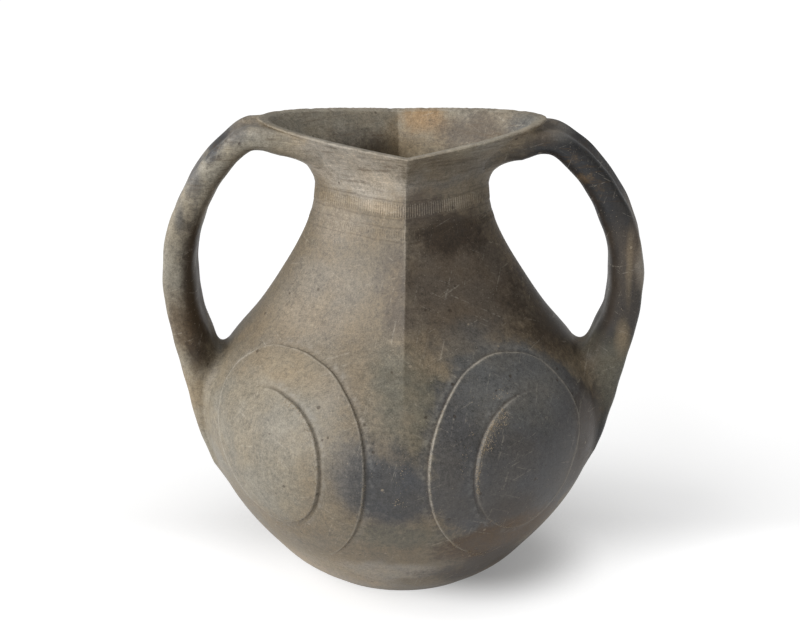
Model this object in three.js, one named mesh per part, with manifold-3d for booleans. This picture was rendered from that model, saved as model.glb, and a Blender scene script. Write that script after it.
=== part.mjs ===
// A two-handled jar of burnished black pottery, hand-built from a slab, rings of wall, two straps and
// four relief spirals that are luted together. Millimetres, +Z up. The origin is the middle of the foot.
// The front ridge faces -Y, and the handles stand out along +X and -X.

import * as THREE from 'three';
import { mergeVertices } from 'three/addons/utils/BufferGeometryUtils.js';
import Module from 'manifold-3d';

const wasm = await Module();
wasm.setup();

// Heights of the jar's levels above the table: its widest place, its narrowest and its mouth
const bellyHeight = 118;
const neckRise = 150;
const lipRise = 43;
const neckHeight = bellyHeight + neckRise;
const ridgeTop = neckHeight + lipRise;

// Half widths at those levels, measured across the handles
const footRadius = 58.5;
const bellyRadius = 137;
const neckHalfWidth = 59.5;
const mouthHalfWidth = 98.5;

// The mouth rises from its front and back corners to its side tips by this much
const mouthRise = 11;

// Depth of the plan against its width, from round belly to lozenge mouth
const neckDepthShare = 0.79;
const mouthDepthShare = 0.635;

// The plan's front and back ridges fade in between the first two heights.
// Its depth shrinks from the third.
const ridgeStart = bellyHeight + 2;
const ridgeFull = neckHeight - 33;
const flattenStart = bellyHeight - 8;
const lipCornerRounding = 0.15;
const neckBluntness = 1.65;
const mouthBluntness = 1.75;

// The hand-built mouth is turned a little against the belly
const mouthSkew = 0.06;

// Clay thickness
const baseThickness = 8;
const bellyWall = 5.5;
const lipWall = 4;
const lipRoundDrop = 1.2;

// Heights of the luted joints between the rings of wall
const neckJoint = neckHeight - 36;
const lipJoint = neckHeight + 15;

// Parts that rest on the curved wall keep this gap to it
const seatGap = 0.3;

// Strap handles
const strapTopThickness = 17.5;
const strapTopDepth = 43;
const strapMidDepth = 50;
const strapFootDepth = 61;
const strapFootHeight = 73;
const strapRootReach = 31;
const strapRootFlare = 3;

// The two straps differ a little, as pulled by hand: how far the middle line bows out past the mouth's
// tips, how far it crowns below the mouth, how many degrees the strap is turned about the vertical, how
// thick it is at its middle and how much it thickens inwards where it nears the belly
const leftStrap = { side: -1, bow: 52.5, drop: 0, turn: -3, thickness: 22, flare: 2.5 };
const rightStrap = { side: 1, bow: 54.5, drop: 4, turn: -1, thickness: 23.5, flare: 6 };

// Relief spirals on the belly
const voluteAzimuth = 41;
const voluteSwing = -2.6;
const voluteArcHeight = 150;
const voluteWidthShare = 0.9;
const voluteStep = 2.2;
const voluteTail = 1;
const voluteEdgeRound = 1.2;
const voluteRoot = 4;
const voluteEyeRise = 1.35;
const voluteBandTuck = 0.02;
const voluteRings = [0.86, 0.7, 0.5, 0.28];

// Facets
const roundFacets = 60;
const wallRows = 7;
const neckRows = 6;
const lipRows = 5;
const strapSteps = 26;
const voluteFacets = 40;

// The outline between two levels: [share of the height, share of the widening]
const lowerOutline = [[0, 0], [0.102, 0.236], [0.254, 0.465], [0.593, 0.837], [1, 1]];
const shoulderOutline = [
  [0.147, 0.955], [0.313, 0.755], [0.48, 0.503], [0.647, 0.293], [0.78, 0.146], [0.88, 0.058], [1, 0],
];
const lipOutline = [[0.349, 0.035], [0.581, 0.26], [0.79, 0.615], [1, 1]];

// A spiral's edge: [turn in degrees, share of its reach], from its start above the eye to its end under
// the belly. Turn 0 points away from the front ridge and 90 points up.
const fullTurn = 360;
const spiralStart = 45;
const spiralTail = 255;
const leftSpiral = {
  reach: 98,
  edge: [
    [45, 0.484], [75, 0.419], [105, 0.393], [135, 0.443], [165, 0.534], [195, 0.559], [225, 0.568],
    [255, 0.545], [285, 0.48], [315, 0.45], [345, 0.472], [375, 0.63], [405, 0.843], [435, 0.72],
    [465, 0.687], [495, 0.767], [525, 0.887], [555, 0.912], [585, 0.95], [615, 1],
  ],
};
const rightSpiral = {
  reach: 88.5,
  edge: [
    [45, 0.582], [75, 0.455], [105, 0.418], [135, 0.444], [165, 0.506], [195, 0.553], [225, 0.584],
    [255, 0.624], [285, 0.66], [315, 0.62], [345, 0.574], [375, 0.7], [405, 0.856], [435, 0.785],
    [465, 0.766], [495, 0.836], [525, 0.919], [555, 0.945], [585, 0.967], [615, 1],
  ],
};

// Half of the strap's section, from the groove in its outer face round to its inner face:
// [share of the half thickness, share of the half depth]
const strapSection = [
  [0.82, 0], [0.92, 0.38], [1, 0.68], [0.84, 0.92], [0.3, 1],
  [-0.32, 0.96], [-0.8, 0.76], [-1, 0.42], [-1, 0],
];

function smooth(from, to, value) {
  const share = THREE.MathUtils.clamp((value - from) / (to - from), 0, 1);
  return share * share * (3 - 2 * share);
}

function mix(from, to, share) {
  return from + (to - from) * share;
}

// A smooth curve through stations [place, value]
function curveThrough(stations) {
  const slopes = stations.map((station, index) => {
    const before = stations[Math.max(index - 1, 0)];
    const after = stations[Math.min(index + 1, stations.length - 1)];
    if (index === 0 || index === stations.length - 1) {
      return (after[1] - before[1]) / (after[0] - before[0]);
    }
    const left = (station[1] - before[1]) / (station[0] - before[0]);
    const right = (after[1] - station[1]) / (after[0] - station[0]);
    const leftSpan = station[0] - before[0];
    const rightSpan = after[0] - station[0];
    return (left * rightSpan + right * leftSpan) / (leftSpan + rightSpan);
  });
  return (place) => {
    let index = 0;
    while (index < stations.length - 2 && place > stations[index + 1][0]) index += 1;
    const [start, startValue] = stations[index];
    const [end, endValue] = stations[index + 1];
    const span = end - start;
    const t = THREE.MathUtils.clamp((place - start) / span, 0, 1);
    return startValue * (1 + 2 * t) * (1 - t) ** 2
      + endValue * t * t * (3 - 2 * t)
      + slopes[index] * span * t * (1 - t) ** 2
      + slopes[index + 1] * span * t * t * (t - 1);
  };
}

// Half width of the outer wall at a height, across the handles
const halfWidth = curveThrough([
  ...lowerOutline.map(([rise, share]) => [rise * bellyHeight, mix(footRadius, bellyRadius, share)]),
  ...shoulderOutline.map(([rise, share]) => [
    mix(bellyHeight, neckHeight, rise),
    mix(neckHalfWidth, bellyRadius, share),
  ]),
  ...lipOutline.map(([rise, share]) => [
    mix(neckHeight, ridgeTop, rise),
    mix(neckHalfWidth, mouthHalfWidth, share),
  ]),
]);

function depthShare(height) {
  const toNeck = smooth(flattenStart, neckHeight, height);
  const toMouth = smooth(neckHeight, ridgeTop, height);
  return 1 - (1 - neckDepthShare) * toNeck - (neckDepthShare - mouthDepthShare) * toMouth;
}

function slopeOf(rule, height) {
  const reach = 0.5;
  return (rule(height + reach) - rule(height - reach)) / (2 * reach);
}

// The plan at a height: its half width, half depth, how sharp its ridges are and how blunt its ends are
function plan(height, inset) {
  const lean = Math.hypot(1, slopeOf(halfWidth, height));
  const wide = halfWidth(height) - inset * lean;
  const deep = halfWidth(height) * depthShare(height) - inset * lean;
  const crease = smooth(ridgeStart, ridgeFull, height)
    - lipCornerRounding * smooth(neckHeight, ridgeTop, height);
  const bluntness = 2 + (neckBluntness - 2) * smooth(ridgeStart, neckHeight, height)
    + (mouthBluntness - neckBluntness) * smooth(neckHeight, ridgeTop, height);
  return { wide, deep, crease, bluntness };
}

// Distance from the axis to the plan's outline in a direction, found by halving
function reach({ wide, deep, crease, bluntness }, sine, cosine) {
  let low = 0;
  let high = wide * 1.5;
  for (let step = 0; step < 44; step += 1) {
    const middle = (low + high) / 2;
    const across = middle * Math.abs(sine) / wide;
    const along = (middle * Math.abs(cosine) / deep) ** bluntness;
    const inside = along + crease * across + (1 - crease) * across * across < 1;
    if (inside) low = middle;
    else high = middle;
  }
  return low;
}

// A point of the wall. The azimuth is 0 at the front ridge and 90 degrees at +X.
function wallPoint(azimuth, height, inset) {
  const sine = Math.sin(azimuth);
  const cosine = Math.cos(azimuth);
  const shape = plan(height, inset);
  const radius = reach(shape, sine, cosine);
  const lift = height > lipJoint ? ((height - lipJoint) / (ridgeTop - lipJoint)) ** 1.5 : 0;
  const x = radius * sine;
  const y = -radius * cosine;
  const z = height + mouthRise * lift * Math.abs(x) / shape.wide;
  return new THREE.Vector3(x - mouthSkew * y * smooth(ridgeStart, ridgeTop, height), y, z);
}

// A point that stands off the outer wall, square to it
function reliefPoint(azimuth, height, proud) {
  const step = 0.004;
  const climb = 0.5;
  const centre = wallPoint(azimuth, height, 0);
  const round = wallPoint(azimuth + step, height, 0).sub(wallPoint(azimuth - step, height, 0));
  const up = wallPoint(azimuth, height + climb, 0).sub(wallPoint(azimuth, height - climb, 0));
  const outward = round.cross(up).normalize();
  return centre.addScaledVector(outward, proud);
}

// Length of the wall's outline from the foot to each height, and the height at such a length
const arcStep = 1;
const arcs = [0];
for (let height = arcStep; height <= ridgeTop; height += arcStep) {
  const widening = halfWidth(height) - halfWidth(height - arcStep);
  arcs.push(arcs[arcs.length - 1] + Math.hypot(arcStep, widening));
}

function heightAtArc(arc) {
  const above = Math.max(arcs.findIndex((length) => length > arc), 1);
  const share = (arc - arcs[above - 1]) / (arcs[above] - arcs[above - 1]);
  return (above - 1 + share) * arcStep;
}

function meshGeometry(points, faces) {
  const geometry = new THREE.BufferGeometry();
  const places = points.flatMap((point) => [point.x, point.y, point.z]);
  geometry.setAttribute('position', new THREE.Float32BufferAttribute(places, 3));
  geometry.setIndex(faces);
  return geometry;
}

// A ring of wall: each loop of points runs up the outside and down the inside
function ringOfLoops(loops) {
  const count = loops[0].length;
  const faces = [];
  loops.forEach((loop, column) => {
    const here = column * count;
    const next = ((column + 1) % loops.length) * count;
    loop.forEach((point, row) => {
      const above = (row + 1) % count;
      faces.push(here + row, next + row, next + above);
      faces.push(here + row, next + above, here + above);
    });
  });
  return meshGeometry(loops.flat(), faces);
}

// A solid skinned over rings of points that follow each other, closed by a fan at each end
function solidOfRings(rings) {
  const count = rings[0].length;
  const points = rings.flat();
  const faces = [];
  for (let ring = 0; ring < rings.length - 1; ring += 1) {
    for (let side = 0; side < count; side += 1) {
      const a = ring * count + side;
      const b = ring * count + (side + 1) % count;
      faces.push(a, b, b + count, a, b + count, a + count);
    }
  }
  const ends = [rings[0], rings[rings.length - 1]].map((ring) => {
    const centre = new THREE.Vector3();
    ring.forEach((point) => centre.add(point));
    return centre.divideScalar(count);
  });
  const startCentre = points.push(ends[0]) - 1;
  const endCentre = points.push(ends[1]) - 1;
  const last = (rings.length - 1) * count;
  for (let side = 0; side < count; side += 1) {
    const next = (side + 1) % count;
    faces.push(startCentre, next, side);
    faces.push(endCentre, last + side, last + next);
  }
  return meshGeometry(points, faces);
}

function solidOf(geometry) {
  const bare = geometry.clone();
  bare.deleteAttribute('normal');
  bare.deleteAttribute('uv');
  const merged = mergeVertices(bare, 1e-4);
  return new wasm.Manifold(new wasm.Mesh({
    numProp: 3,
    vertProperties: new Float32Array(merged.attributes.position.array),
    triVerts: new Uint32Array(merged.index.array),
  }));
}

function geometryOf(solid) {
  const { vertProperties, triVerts } = solid.getMesh();
  const geometry = new THREE.BufferGeometry();
  geometry.setAttribute('position', new THREE.Float32BufferAttribute(vertProperties, 3));
  geometry.setIndex(Array.from(triVerts));
  return geometry;
}

function azimuths() {
  return Array.from({ length: roundFacets }, (_, index) => index * 2 * Math.PI / roundFacets);
}

function levels(from, to, rows) {
  return Array.from({ length: rows + 1 }, (_, index) => mix(from, to, index / rows));
}

function wallThickness(height) {
  return mix(bellyWall, lipWall, smooth(neckJoint, ridgeTop, height));
}

function wallRing(from, to, rows) {
  const heights = levels(from, to, rows);
  return ringOfLoops(azimuths().map((azimuth) => [
    ...heights.map((height) => wallPoint(azimuth, height, 0)),
    ...heights.toReversed().map((height) => wallPoint(azimuth, height, wallThickness(height))),
  ]));
}

// The flared lip, with a rounded edge
function lipRing() {
  const heights = levels(lipJoint, ridgeTop - lipRoundDrop, lipRows);
  return ringOfLoops(azimuths().map((azimuth) => [
    ...heights.map((height) => wallPoint(azimuth, height, 0)),
    wallPoint(azimuth, ridgeTop, lipWall * 0.3),
    wallPoint(azimuth, ridgeTop, lipWall * 0.75),
    ...heights.toReversed().map((height) => wallPoint(azimuth, height, wallThickness(height))),
  ]));
}

function baseSlab() {
  const outline = levels(0, baseThickness, 2).map((height) => new THREE.Vector2(halfWidth(height), height));
  const profile = [new THREE.Vector2(0, 0), ...outline, new THREE.Vector2(0, baseThickness)];
  const geometry = new THREE.LatheGeometry(profile, roundFacets);
  return geometryOf(solidOf(geometry.rotateX(Math.PI / 2)));
}

// The jar without its hollow, swollen by the seat gap and open upwards, to cut what rests on it
function jarSpace() {
  const heights = [
    ...levels(0, bellyHeight, wallRows),
    ...levels(bellyHeight, neckJoint, wallRows).slice(1),
    ...levels(neckJoint, lipJoint, neckRows).slice(1),
    ...levels(lipJoint, ridgeTop, lipRows).slice(1),
  ];
  const rings = heights.map((height) => azimuths().map((azimuth) => reliefPoint(azimuth, height, seatGap)));
  const clearAbove = 60;
  const top = rings[rings.length - 1].map((point) => point.clone().setZ(point.z + clearAbove));
  return solidOf(solidOfRings([...rings, top]));
}

// The middle line of a strap: out from the lip, over, down and into the belly
function strapLine({ bow, drop, thickness }) {
  const outside = mouthHalfWidth + bow;
  const foot = halfWidth(strapFootHeight) - thickness / 2;
  const crown = ridgeTop - drop;
  const fall = crown - strapFootHeight;
  const outward = (share) => mix(mouthHalfWidth, outside, share);
  const inward = (share) => mix(foot, outside, share);
  const stations = [
    [mouthHalfWidth - strapRootReach, crown],
    [mouthHalfWidth - strapRootReach / 2, crown],
    [outward(0.06), crown],
    [outward(0.31), crown - 0.04 * fall],
    [outward(0.58), crown - 0.11 * fall],
    [outward(0.8), crown - 0.2 * fall],
    [outward(0.94), crown - 0.29 * fall],
    [outward(0.99), crown - 0.38 * fall],
    [outward(0.96), crown - 0.49 * fall],
    [inward(0.82), crown - 0.58 * fall],
    [inward(0.56), crown - 0.74 * fall],
    [inward(0.3), crown - 0.88 * fall],
    [inward(-0.08), crown - 0.985 * fall],
    [inward(-0.6), crown - 1.035 * fall],
  ];
  return new THREE.CatmullRomCurve3(stations.map(([x, z]) => new THREE.Vector3(x, 0, z)));
}

function strapDepth(share) {
  const upper = mix(strapTopDepth, strapMidDepth, smooth(0.15, 0.6, share));
  return mix(upper, strapFootDepth, smooth(0.6, 0.9, share));
}

// One ring round the strap
function strapRing(line, { thickness, flare: footFlare }, share) {
  const centre = line.getPointAt(share);
  const ahead = line.getTangentAt(share);
  const outward = new THREE.Vector3(ahead.z, 0, -ahead.x).negate();
  const thick = mix(strapTopThickness, thickness, smooth(0.05, 0.4, share)) / 2;
  const deep = strapDepth(share) / 2;
  const flare = strapRootFlare * (1 - smooth(0.04, 0.14, share)) + footFlare * smooth(0.55, 0.68, share);
  const otherHalf = strapSection.slice(1, -1).toReversed().map(([across, along]) => [across, -along]);
  return [...strapSection, ...otherHalf].map(([across, along]) => centre.clone()
    .addScaledVector(outward, across < 0 ? across * (thick + flare) : across * thick)
    .add(new THREE.Vector3(0, -along * deep, 0)));
}

function strapHandle(strap, space) {
  const line = strapLine(strap);
  const geometry = solidOfRings(levels(0, 1, strapSteps).map((share) => strapRing(line, strap, share)));
  const pivot = mouthHalfWidth + strap.bow;
  geometry.translate(-pivot, 0, 0);
  geometry.rotateZ(THREE.MathUtils.degToRad(strap.turn));
  geometry.translate(pivot, 0, 0);
  if (strap.side < 0) geometry.rotateZ(Math.PI);
  return geometryOf(largestPiece(solidOf(geometry).subtract(space)));
}

function largestPiece(solid) {
  const pieces = solid.decompose();
  return pieces.reduce((best, piece) => (piece.volume() > best.volume() ? piece : best));
}

// A pad on the belly, from its edge radius at each turn and its level at each turn and share of that radius
function spiralPad(centreAzimuth, side, radiusAt, levelAt) {
  const bellyArc = THREE.MathUtils.degToRad(1) * bellyRadius;
  const placed = (turn, radius, proud) => {
    const angle = THREE.MathUtils.degToRad(turn);
    const aside = radius * Math.cos(angle) * voluteWidthShare / bellyArc;
    const arc = voluteArcHeight + radius * Math.sin(angle);
    const azimuth = THREE.MathUtils.degToRad(side * (centreAzimuth + aside));
    return reliefPoint(azimuth, heightAtArc(arc), proud);
  };
  const turns = levels(spiralStart, spiralStart + fullTurn, voluteFacets).slice(0, -1);
  const top = (share) => turns.map((turn) => placed(turn, radiusAt(turn) * share, levelAt(turn, share)));
  const rings = [
    turns.map((turn) => placed(turn, radiusAt(turn), -voluteRoot)),
    turns.map((turn) => placed(turn, radiusAt(turn), levelAt(turn, 1) - voluteEdgeRound / 2)),
    turns.map((turn) => placed(turn, radiusAt(turn) - voluteEdgeRound, levelAt(turn, 1))),
    ...voluteRings.map(top),
  ];
  return solidOf(solidOfRings(side > 0 ? rings : rings.map((ring) => ring.toReversed())));
}

// A relief spiral: an outer band that thins towards its tail, and a raised eye inside it
function volute(spiral, swing, side, space, behind) {
  const { reach: size } = spiral;
  const outline = curveThrough(spiral.edge);
  const edge = (turn) => outline(turn) * size;
  const join = spiralTail + 45;
  const end = spiralStart + fullTurn;
  const bandRadius = (turn) => {
    if (turn < spiralTail) return edge(turn + fullTurn);
    const closing = smooth(spiralTail, join, turn);
    const tuck = voluteBandTuck * size * closing * (1 - smooth(join, end, turn));
    return mix(edge(spiralTail + fullTurn), edge(turn), closing) - tuck;
  };
  const bandLevel = (turn, share) => {
    const full = 1 - smooth(spiralTail - 90, spiralTail, turn) + smooth(join, join + 30, turn);
    const inner = 0.8 * (1 - smooth(spiralStart, spiralTail - 30, turn) + smooth(join, end, turn));
    return voluteTail + (voluteStep - voluteTail) * mix(inner, full, smooth(0.55, 1, share));
  };
  const eyeRadius = (turn) => mix(edge(turn), edge(spiralStart), smooth(join + 45, end, turn));
  const eyeLevel = (turn, share) => {
    const raised = 0.9 * smooth(spiralStart, spiralStart + 55, turn) - 0.5 * smooth(165, spiralTail, turn);
    const rim = voluteStep * (0.6 + raised - 0.5 * smooth(join, end, turn));
    return mix(voluteStep * voluteEyeRise, rim, share * share);
  };
  const centre = voluteAzimuth + swing * side;
  const band = spiralPad(centre, side, bandRadius, bandLevel);
  const eye = spiralPad(centre, side, eyeRadius, eyeLevel);
  const relief = largestPiece(band.add(eye).subtract(space));
  return geometryOf(behind ? relief.rotate([0, 0, 180]) : relief);
}

function clay(color, roughness) {
  return new THREE.MeshStandardMaterial({ color, roughness, metalness: 0 });
}

function piece(name, geometry, material) {
  const mesh = new THREE.Mesh(geometry, material);
  mesh.name = name;
  return mesh;
}

const tanGrey = clay(0x6b6255, 0.6);
const smokeGrey = clay(0x5a554d, 0.55);
const darkGrey = clay(0x47443f, 0.5);
const blackStrap = clay(0x3a3938, 0.5);

const space = jarSpace();
const jar = new THREE.Group();
jar.name = 'burnished_jar';
jar.add(piece('base_slab', baseSlab(), tanGrey));
jar.add(piece('lower_belly_wall', wallRing(baseThickness, bellyHeight, wallRows), smokeGrey));
jar.add(piece('shoulder_wall', wallRing(bellyHeight, neckJoint, wallRows), smokeGrey));
jar.add(piece('neck_collar', wallRing(neckJoint, lipJoint, neckRows), smokeGrey));
jar.add(piece('mouth_lip', lipRing(), smokeGrey));
jar.add(piece('left_handle', strapHandle(leftStrap, space), blackStrap));
jar.add(piece('right_handle', strapHandle(rightStrap, space), blackStrap));
jar.add(piece('front_left_volute', volute(leftSpiral, voluteSwing, -1, space, false), tanGrey));
jar.add(piece('front_right_volute', volute(rightSpiral, voluteSwing, 1, space, false), darkGrey));
jar.add(piece('back_left_volute', volute(rightSpiral, voluteSwing, 1, space, true), darkGrey));
jar.add(piece('back_right_volute', volute(leftSpiral, voluteSwing, -1, space, true), tanGrey));

export default jar;
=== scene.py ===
"""A two-handled jar of burnished black pottery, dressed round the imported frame.

The jar's surface follows the same rules and sizes as its solids. Sizes in the classes are in
millimetres, and meshes are written in metres. +Z is up, and the front ridge faces -Y.
"""

from __future__ import annotations

import logging
import math
from dataclasses import dataclass
from enum import Enum
from functools import cached_property
from typing import Any, Sequence

import bpy
import numpy as np
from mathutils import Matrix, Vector


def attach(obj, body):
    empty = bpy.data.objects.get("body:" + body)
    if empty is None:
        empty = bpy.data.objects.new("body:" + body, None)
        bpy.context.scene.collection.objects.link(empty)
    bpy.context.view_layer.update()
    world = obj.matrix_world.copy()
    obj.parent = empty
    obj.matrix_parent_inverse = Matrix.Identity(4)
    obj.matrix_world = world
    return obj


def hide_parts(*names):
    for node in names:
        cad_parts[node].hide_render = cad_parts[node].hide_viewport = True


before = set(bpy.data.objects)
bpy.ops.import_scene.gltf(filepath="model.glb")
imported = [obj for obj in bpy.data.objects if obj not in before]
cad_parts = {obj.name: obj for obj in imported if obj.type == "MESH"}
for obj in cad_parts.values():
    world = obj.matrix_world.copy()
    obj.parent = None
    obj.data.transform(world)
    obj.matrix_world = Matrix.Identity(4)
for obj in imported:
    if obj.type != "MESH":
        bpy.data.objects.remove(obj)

LOG = logging.getLogger("jar")
METRES_PER_MM = 0.001
ROOT = "root"
# Both in degrees: a whole turn, and the angle past which an edge stays sharp
FULL_TURN = 360.0
SHARP_OVER = 50.0
Numbers = np.ndarray


def smooth(start: float, end: float, value: Numbers | float) -> Numbers:
    """Returns a soft step from 0 at start to 1 at end."""
    share = np.clip((np.asarray(value, float) - start) / (end - start), 0.0, 1.0)
    return share * share * (3.0 - 2.0 * share)


def mix(first: Any, second: Any, share: Any) -> Any:
    """Returns the value that lies a share of the way from first to second."""
    return first + (second - first) * share


def bump(distance: Numbers, centre: float, width: float) -> Numbers:
    """Returns a bell curve of height 1 over a distance."""
    return np.exp(-(((distance - centre) / width) ** 2))


def spaced(start: float, end: float, step: float) -> Numbers:
    """Returns even stations from start to end, no further apart than step."""
    return np.linspace(start, end, max(int(math.ceil(abs(end - start) / step)), 1) + 1)


@dataclass(frozen=True)
class SmoothCurve:
    """A smooth curve through stations of place and value."""

    stations: tuple[tuple[float, float], ...]

    @cached_property
    def slopes(self) -> Numbers:
        """The curve's slope at each station."""
        place, value = np.array(self.stations, float).T
        span = np.diff(place)
        rise = np.diff(value) / span
        inner = (rise[:-1] * span[1:] + rise[1:] * span[:-1]) / (span[:-1] + span[1:])
        return np.concatenate([rise[:1], inner, rise[-1:]])

    def at(self, place: Numbers | float) -> Numbers:
        """Reads the curve.

        Args:
            place: places along the curve.

        Returns:
            The value at each, held level past the curve's ends.
        """
        places, values = np.array(self.stations, float).T
        here = np.clip(np.asarray(place, float), places[0], places[-1])
        index = np.clip(np.searchsorted(places, here, side="right") - 1, 0, len(places) - 2)
        span = places[index + 1] - places[index]
        t = (here - places[index]) / span
        return (
            values[index] * (1 + 2 * t) * (1 - t) ** 2
            + values[index + 1] * t * t * (3 - 2 * t)
            + self.slopes[index] * span * t * (1 - t) ** 2
            + self.slopes[index + 1] * span * t * t * (t - 1)
        )


@dataclass(frozen=True)
class JarForm:
    """The rule for the jar's wall: its outline, its ridged plan and its thickness.

    Each of the three outlines pairs a share of its zone's height with a share of the zone's way from its
    narrow end to its wide end.
    """

    belly_height: float = 118.0
    neck_height: float = 268.0
    ridge_top: float = 311.0
    foot_radius: float = 58.5
    belly_radius: float = 137.0
    neck_half_width: float = 59.5
    mouth_half_width: float = 98.5
    mouth_rise: float = 11.0
    neck_depth_share: float = 0.79
    mouth_depth_share: float = 0.635
    ridge_start: float = 120.0
    ridge_full: float = 235.0
    flatten_start: float = 110.0
    lip_corner_rounding: float = 0.15
    neck_bluntness: float = 1.65
    mouth_bluntness: float = 1.75
    mouth_skew: float = 0.06
    base_thickness: float = 8.0
    belly_wall: float = 5.5
    lip_wall: float = 4.0
    lip_round_drop: float = 1.2
    neck_joint: float = 232.0
    lip_joint: float = 283.0
    hand_wave: float = 0.32
    halvings: int = 40
    searches: int = 8
    search_pull: float = 0.8
    lower_outline: tuple[tuple[float, float], ...] = (
        (0, 0), (0.102, 0.236), (0.254, 0.465), (0.593, 0.837), (1, 1),
    )
    shoulder_outline: tuple[tuple[float, float], ...] = (
        (0.147, 0.955), (0.313, 0.755), (0.48, 0.503), (0.647, 0.293), (0.78, 0.146), (0.88, 0.058),
        (1, 0),
    )
    lip_outline: tuple[tuple[float, float], ...] = ((0.349, 0.035), (0.581, 0.26), (0.79, 0.615), (1, 1))

    @cached_property
    def outline(self) -> SmoothCurve:
        """Half width of the outer wall over the height, across the handles."""
        stations: list[tuple[float, float]] = []
        neck, belly = self.neck_half_width, self.belly_radius
        zones = (
            (self.lower_outline, 0.0, self.belly_height, self.foot_radius, belly),
            (self.shoulder_outline, self.belly_height, self.neck_height, neck, belly),
            (self.lip_outline, self.neck_height, self.ridge_top, neck, self.mouth_half_width),
        )
        for shares, low, high, narrow, wide in zones:
            stations += [(mix(low, high, rise), mix(narrow, wide, share)) for rise, share in shares]
        return SmoothCurve(tuple(stations))

    def half_width(self, height: Numbers | float) -> Numbers:
        """Returns the outer wall's half width at each height."""
        return self.outline.at(height)

    def depth_share(self, height: Numbers) -> Numbers:
        """Works out the plan's depth against its width.

        Args:
            height: heights on the wall.

        Returns:
            The share at each height.
        """
        to_neck = smooth(self.flatten_start, self.neck_height, height)
        to_mouth = smooth(self.neck_height, self.ridge_top, height)
        drop = self.neck_depth_share - self.mouth_depth_share
        return 1 - (1 - self.neck_depth_share) * to_neck - drop * to_mouth

    def lean(self, height: Numbers) -> Numbers:
        """Works out how much longer a level cut through the wall is than one square to it.

        Args:
            height: heights on the wall.

        Returns:
            The ratio at each height.
        """
        reach = 0.5
        slope = (self.half_width(height + reach) - self.half_width(height - reach)) / (2 * reach)
        return np.hypot(1.0, slope)

    def point(self, azimuth: Numbers, height: Numbers, inset: Numbers | float = 0.0) -> Numbers:
        """Finds points of the wall.

        Args:
            azimuth: angles from the front ridge towards +X, in radians.
            height: heights of the plan that each point lies on.
            inset: depth below the outer face, square to the wall.

        Returns:
            An array of points, with x, y and z along its last axis.
        """
        azimuth, height, inset = np.broadcast_arrays(
            np.asarray(azimuth, float), np.asarray(height, float), np.asarray(inset, float)
        )
        wide = self.half_width(height) - inset * self.lean(height)
        deep = self.half_width(height) * self.depth_share(height) - inset * self.lean(height)
        to_mouth = smooth(self.neck_height, self.ridge_top, height)
        crease = smooth(self.ridge_start, self.ridge_full, height) - self.lip_corner_rounding * to_mouth
        blunt = mix(2, self.neck_bluntness, smooth(self.ridge_start, self.neck_height, height))
        blunt = blunt + (self.mouth_bluntness - self.neck_bluntness) * to_mouth
        sine, cosine = np.sin(azimuth), np.cos(azimuth)
        low, high = np.zeros_like(wide), wide * 1.5
        for _ in range(self.halvings):
            middle = (low + high) / 2
            across = middle * np.abs(sine) / wide
            along = (middle * np.abs(cosine) / deep) ** blunt
            inside = along + crease * across + (1 - crease) * across**2 < 1
            low = np.where(inside, middle, low)
            high = np.where(inside, high, middle)
        x, y = low * sine, -low * cosine
        lift = np.clip((height - self.lip_joint) / (self.ridge_top - self.lip_joint), 0, None) ** 1.5
        z = height + self.mouth_rise * lift * np.abs(x) / wide
        x = x - self.mouth_skew * y * smooth(self.ridge_start, self.ridge_top, height)
        return np.stack([x, y, z], axis=-1)

    def outward(self, azimuth: Numbers, height: Numbers) -> Numbers:
        """Works out which way the outer face looks.

        Args:
            azimuth: angles from the front ridge, in radians.
            height: heights on the wall.

        Returns:
            The unit normal at each place.
        """
        turn, climb = 0.004, 0.5
        around = self.point(azimuth + turn, height) - self.point(azimuth - turn, height)
        up = self.point(azimuth, height + climb) - self.point(azimuth, height - climb)
        normal = np.cross(around, up)
        return normal / np.linalg.norm(normal, axis=-1, keepdims=True)

    def waver(self, azimuth: Numbers, height: Numbers) -> Numbers:
        """Works out the shallow unevenness of a wall built and burnished by hand.

        Args:
            azimuth: angles from the front ridge, in radians.
            height: heights on the wall.

        Returns:
            How far each place moves out, which is never above 0.
        """
        rolls = (
            np.sin(3 * azimuth + height / 37 + 0.4)
            + 0.8 * np.sin(5 * azimuth - height / 23 + 2.1)
            + 0.6 * np.sin(9 * azimuth + height / 14 + 4.0)
            + 0.5 * np.sin(2 * azimuth + height / 9.5 + 1.2)
        )
        fade = smooth(3, 22, height) * (1 - smooth(self.ridge_top - 12, self.ridge_top - 2, height))
        return self.hand_wave * fade * (rolls / 2.9 - 1)

    def face(self, azimuth: Numbers, height: Numbers, proud: Numbers | float = 0.0) -> Numbers:
        """Finds points on or near the uneven outer face.

        Args:
            azimuth: angles from the front ridge, in radians.
            height: heights on the wall.
            proud: how far each point stands out of the face.

        Returns:
            The points.
        """
        azimuth, height = np.broadcast_arrays(np.asarray(azimuth, float), np.asarray(height, float))
        rise = (self.waver(azimuth, height) + proud)[..., None]
        return self.point(azimuth, height) + self.outward(azimuth, height) * rise

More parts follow.
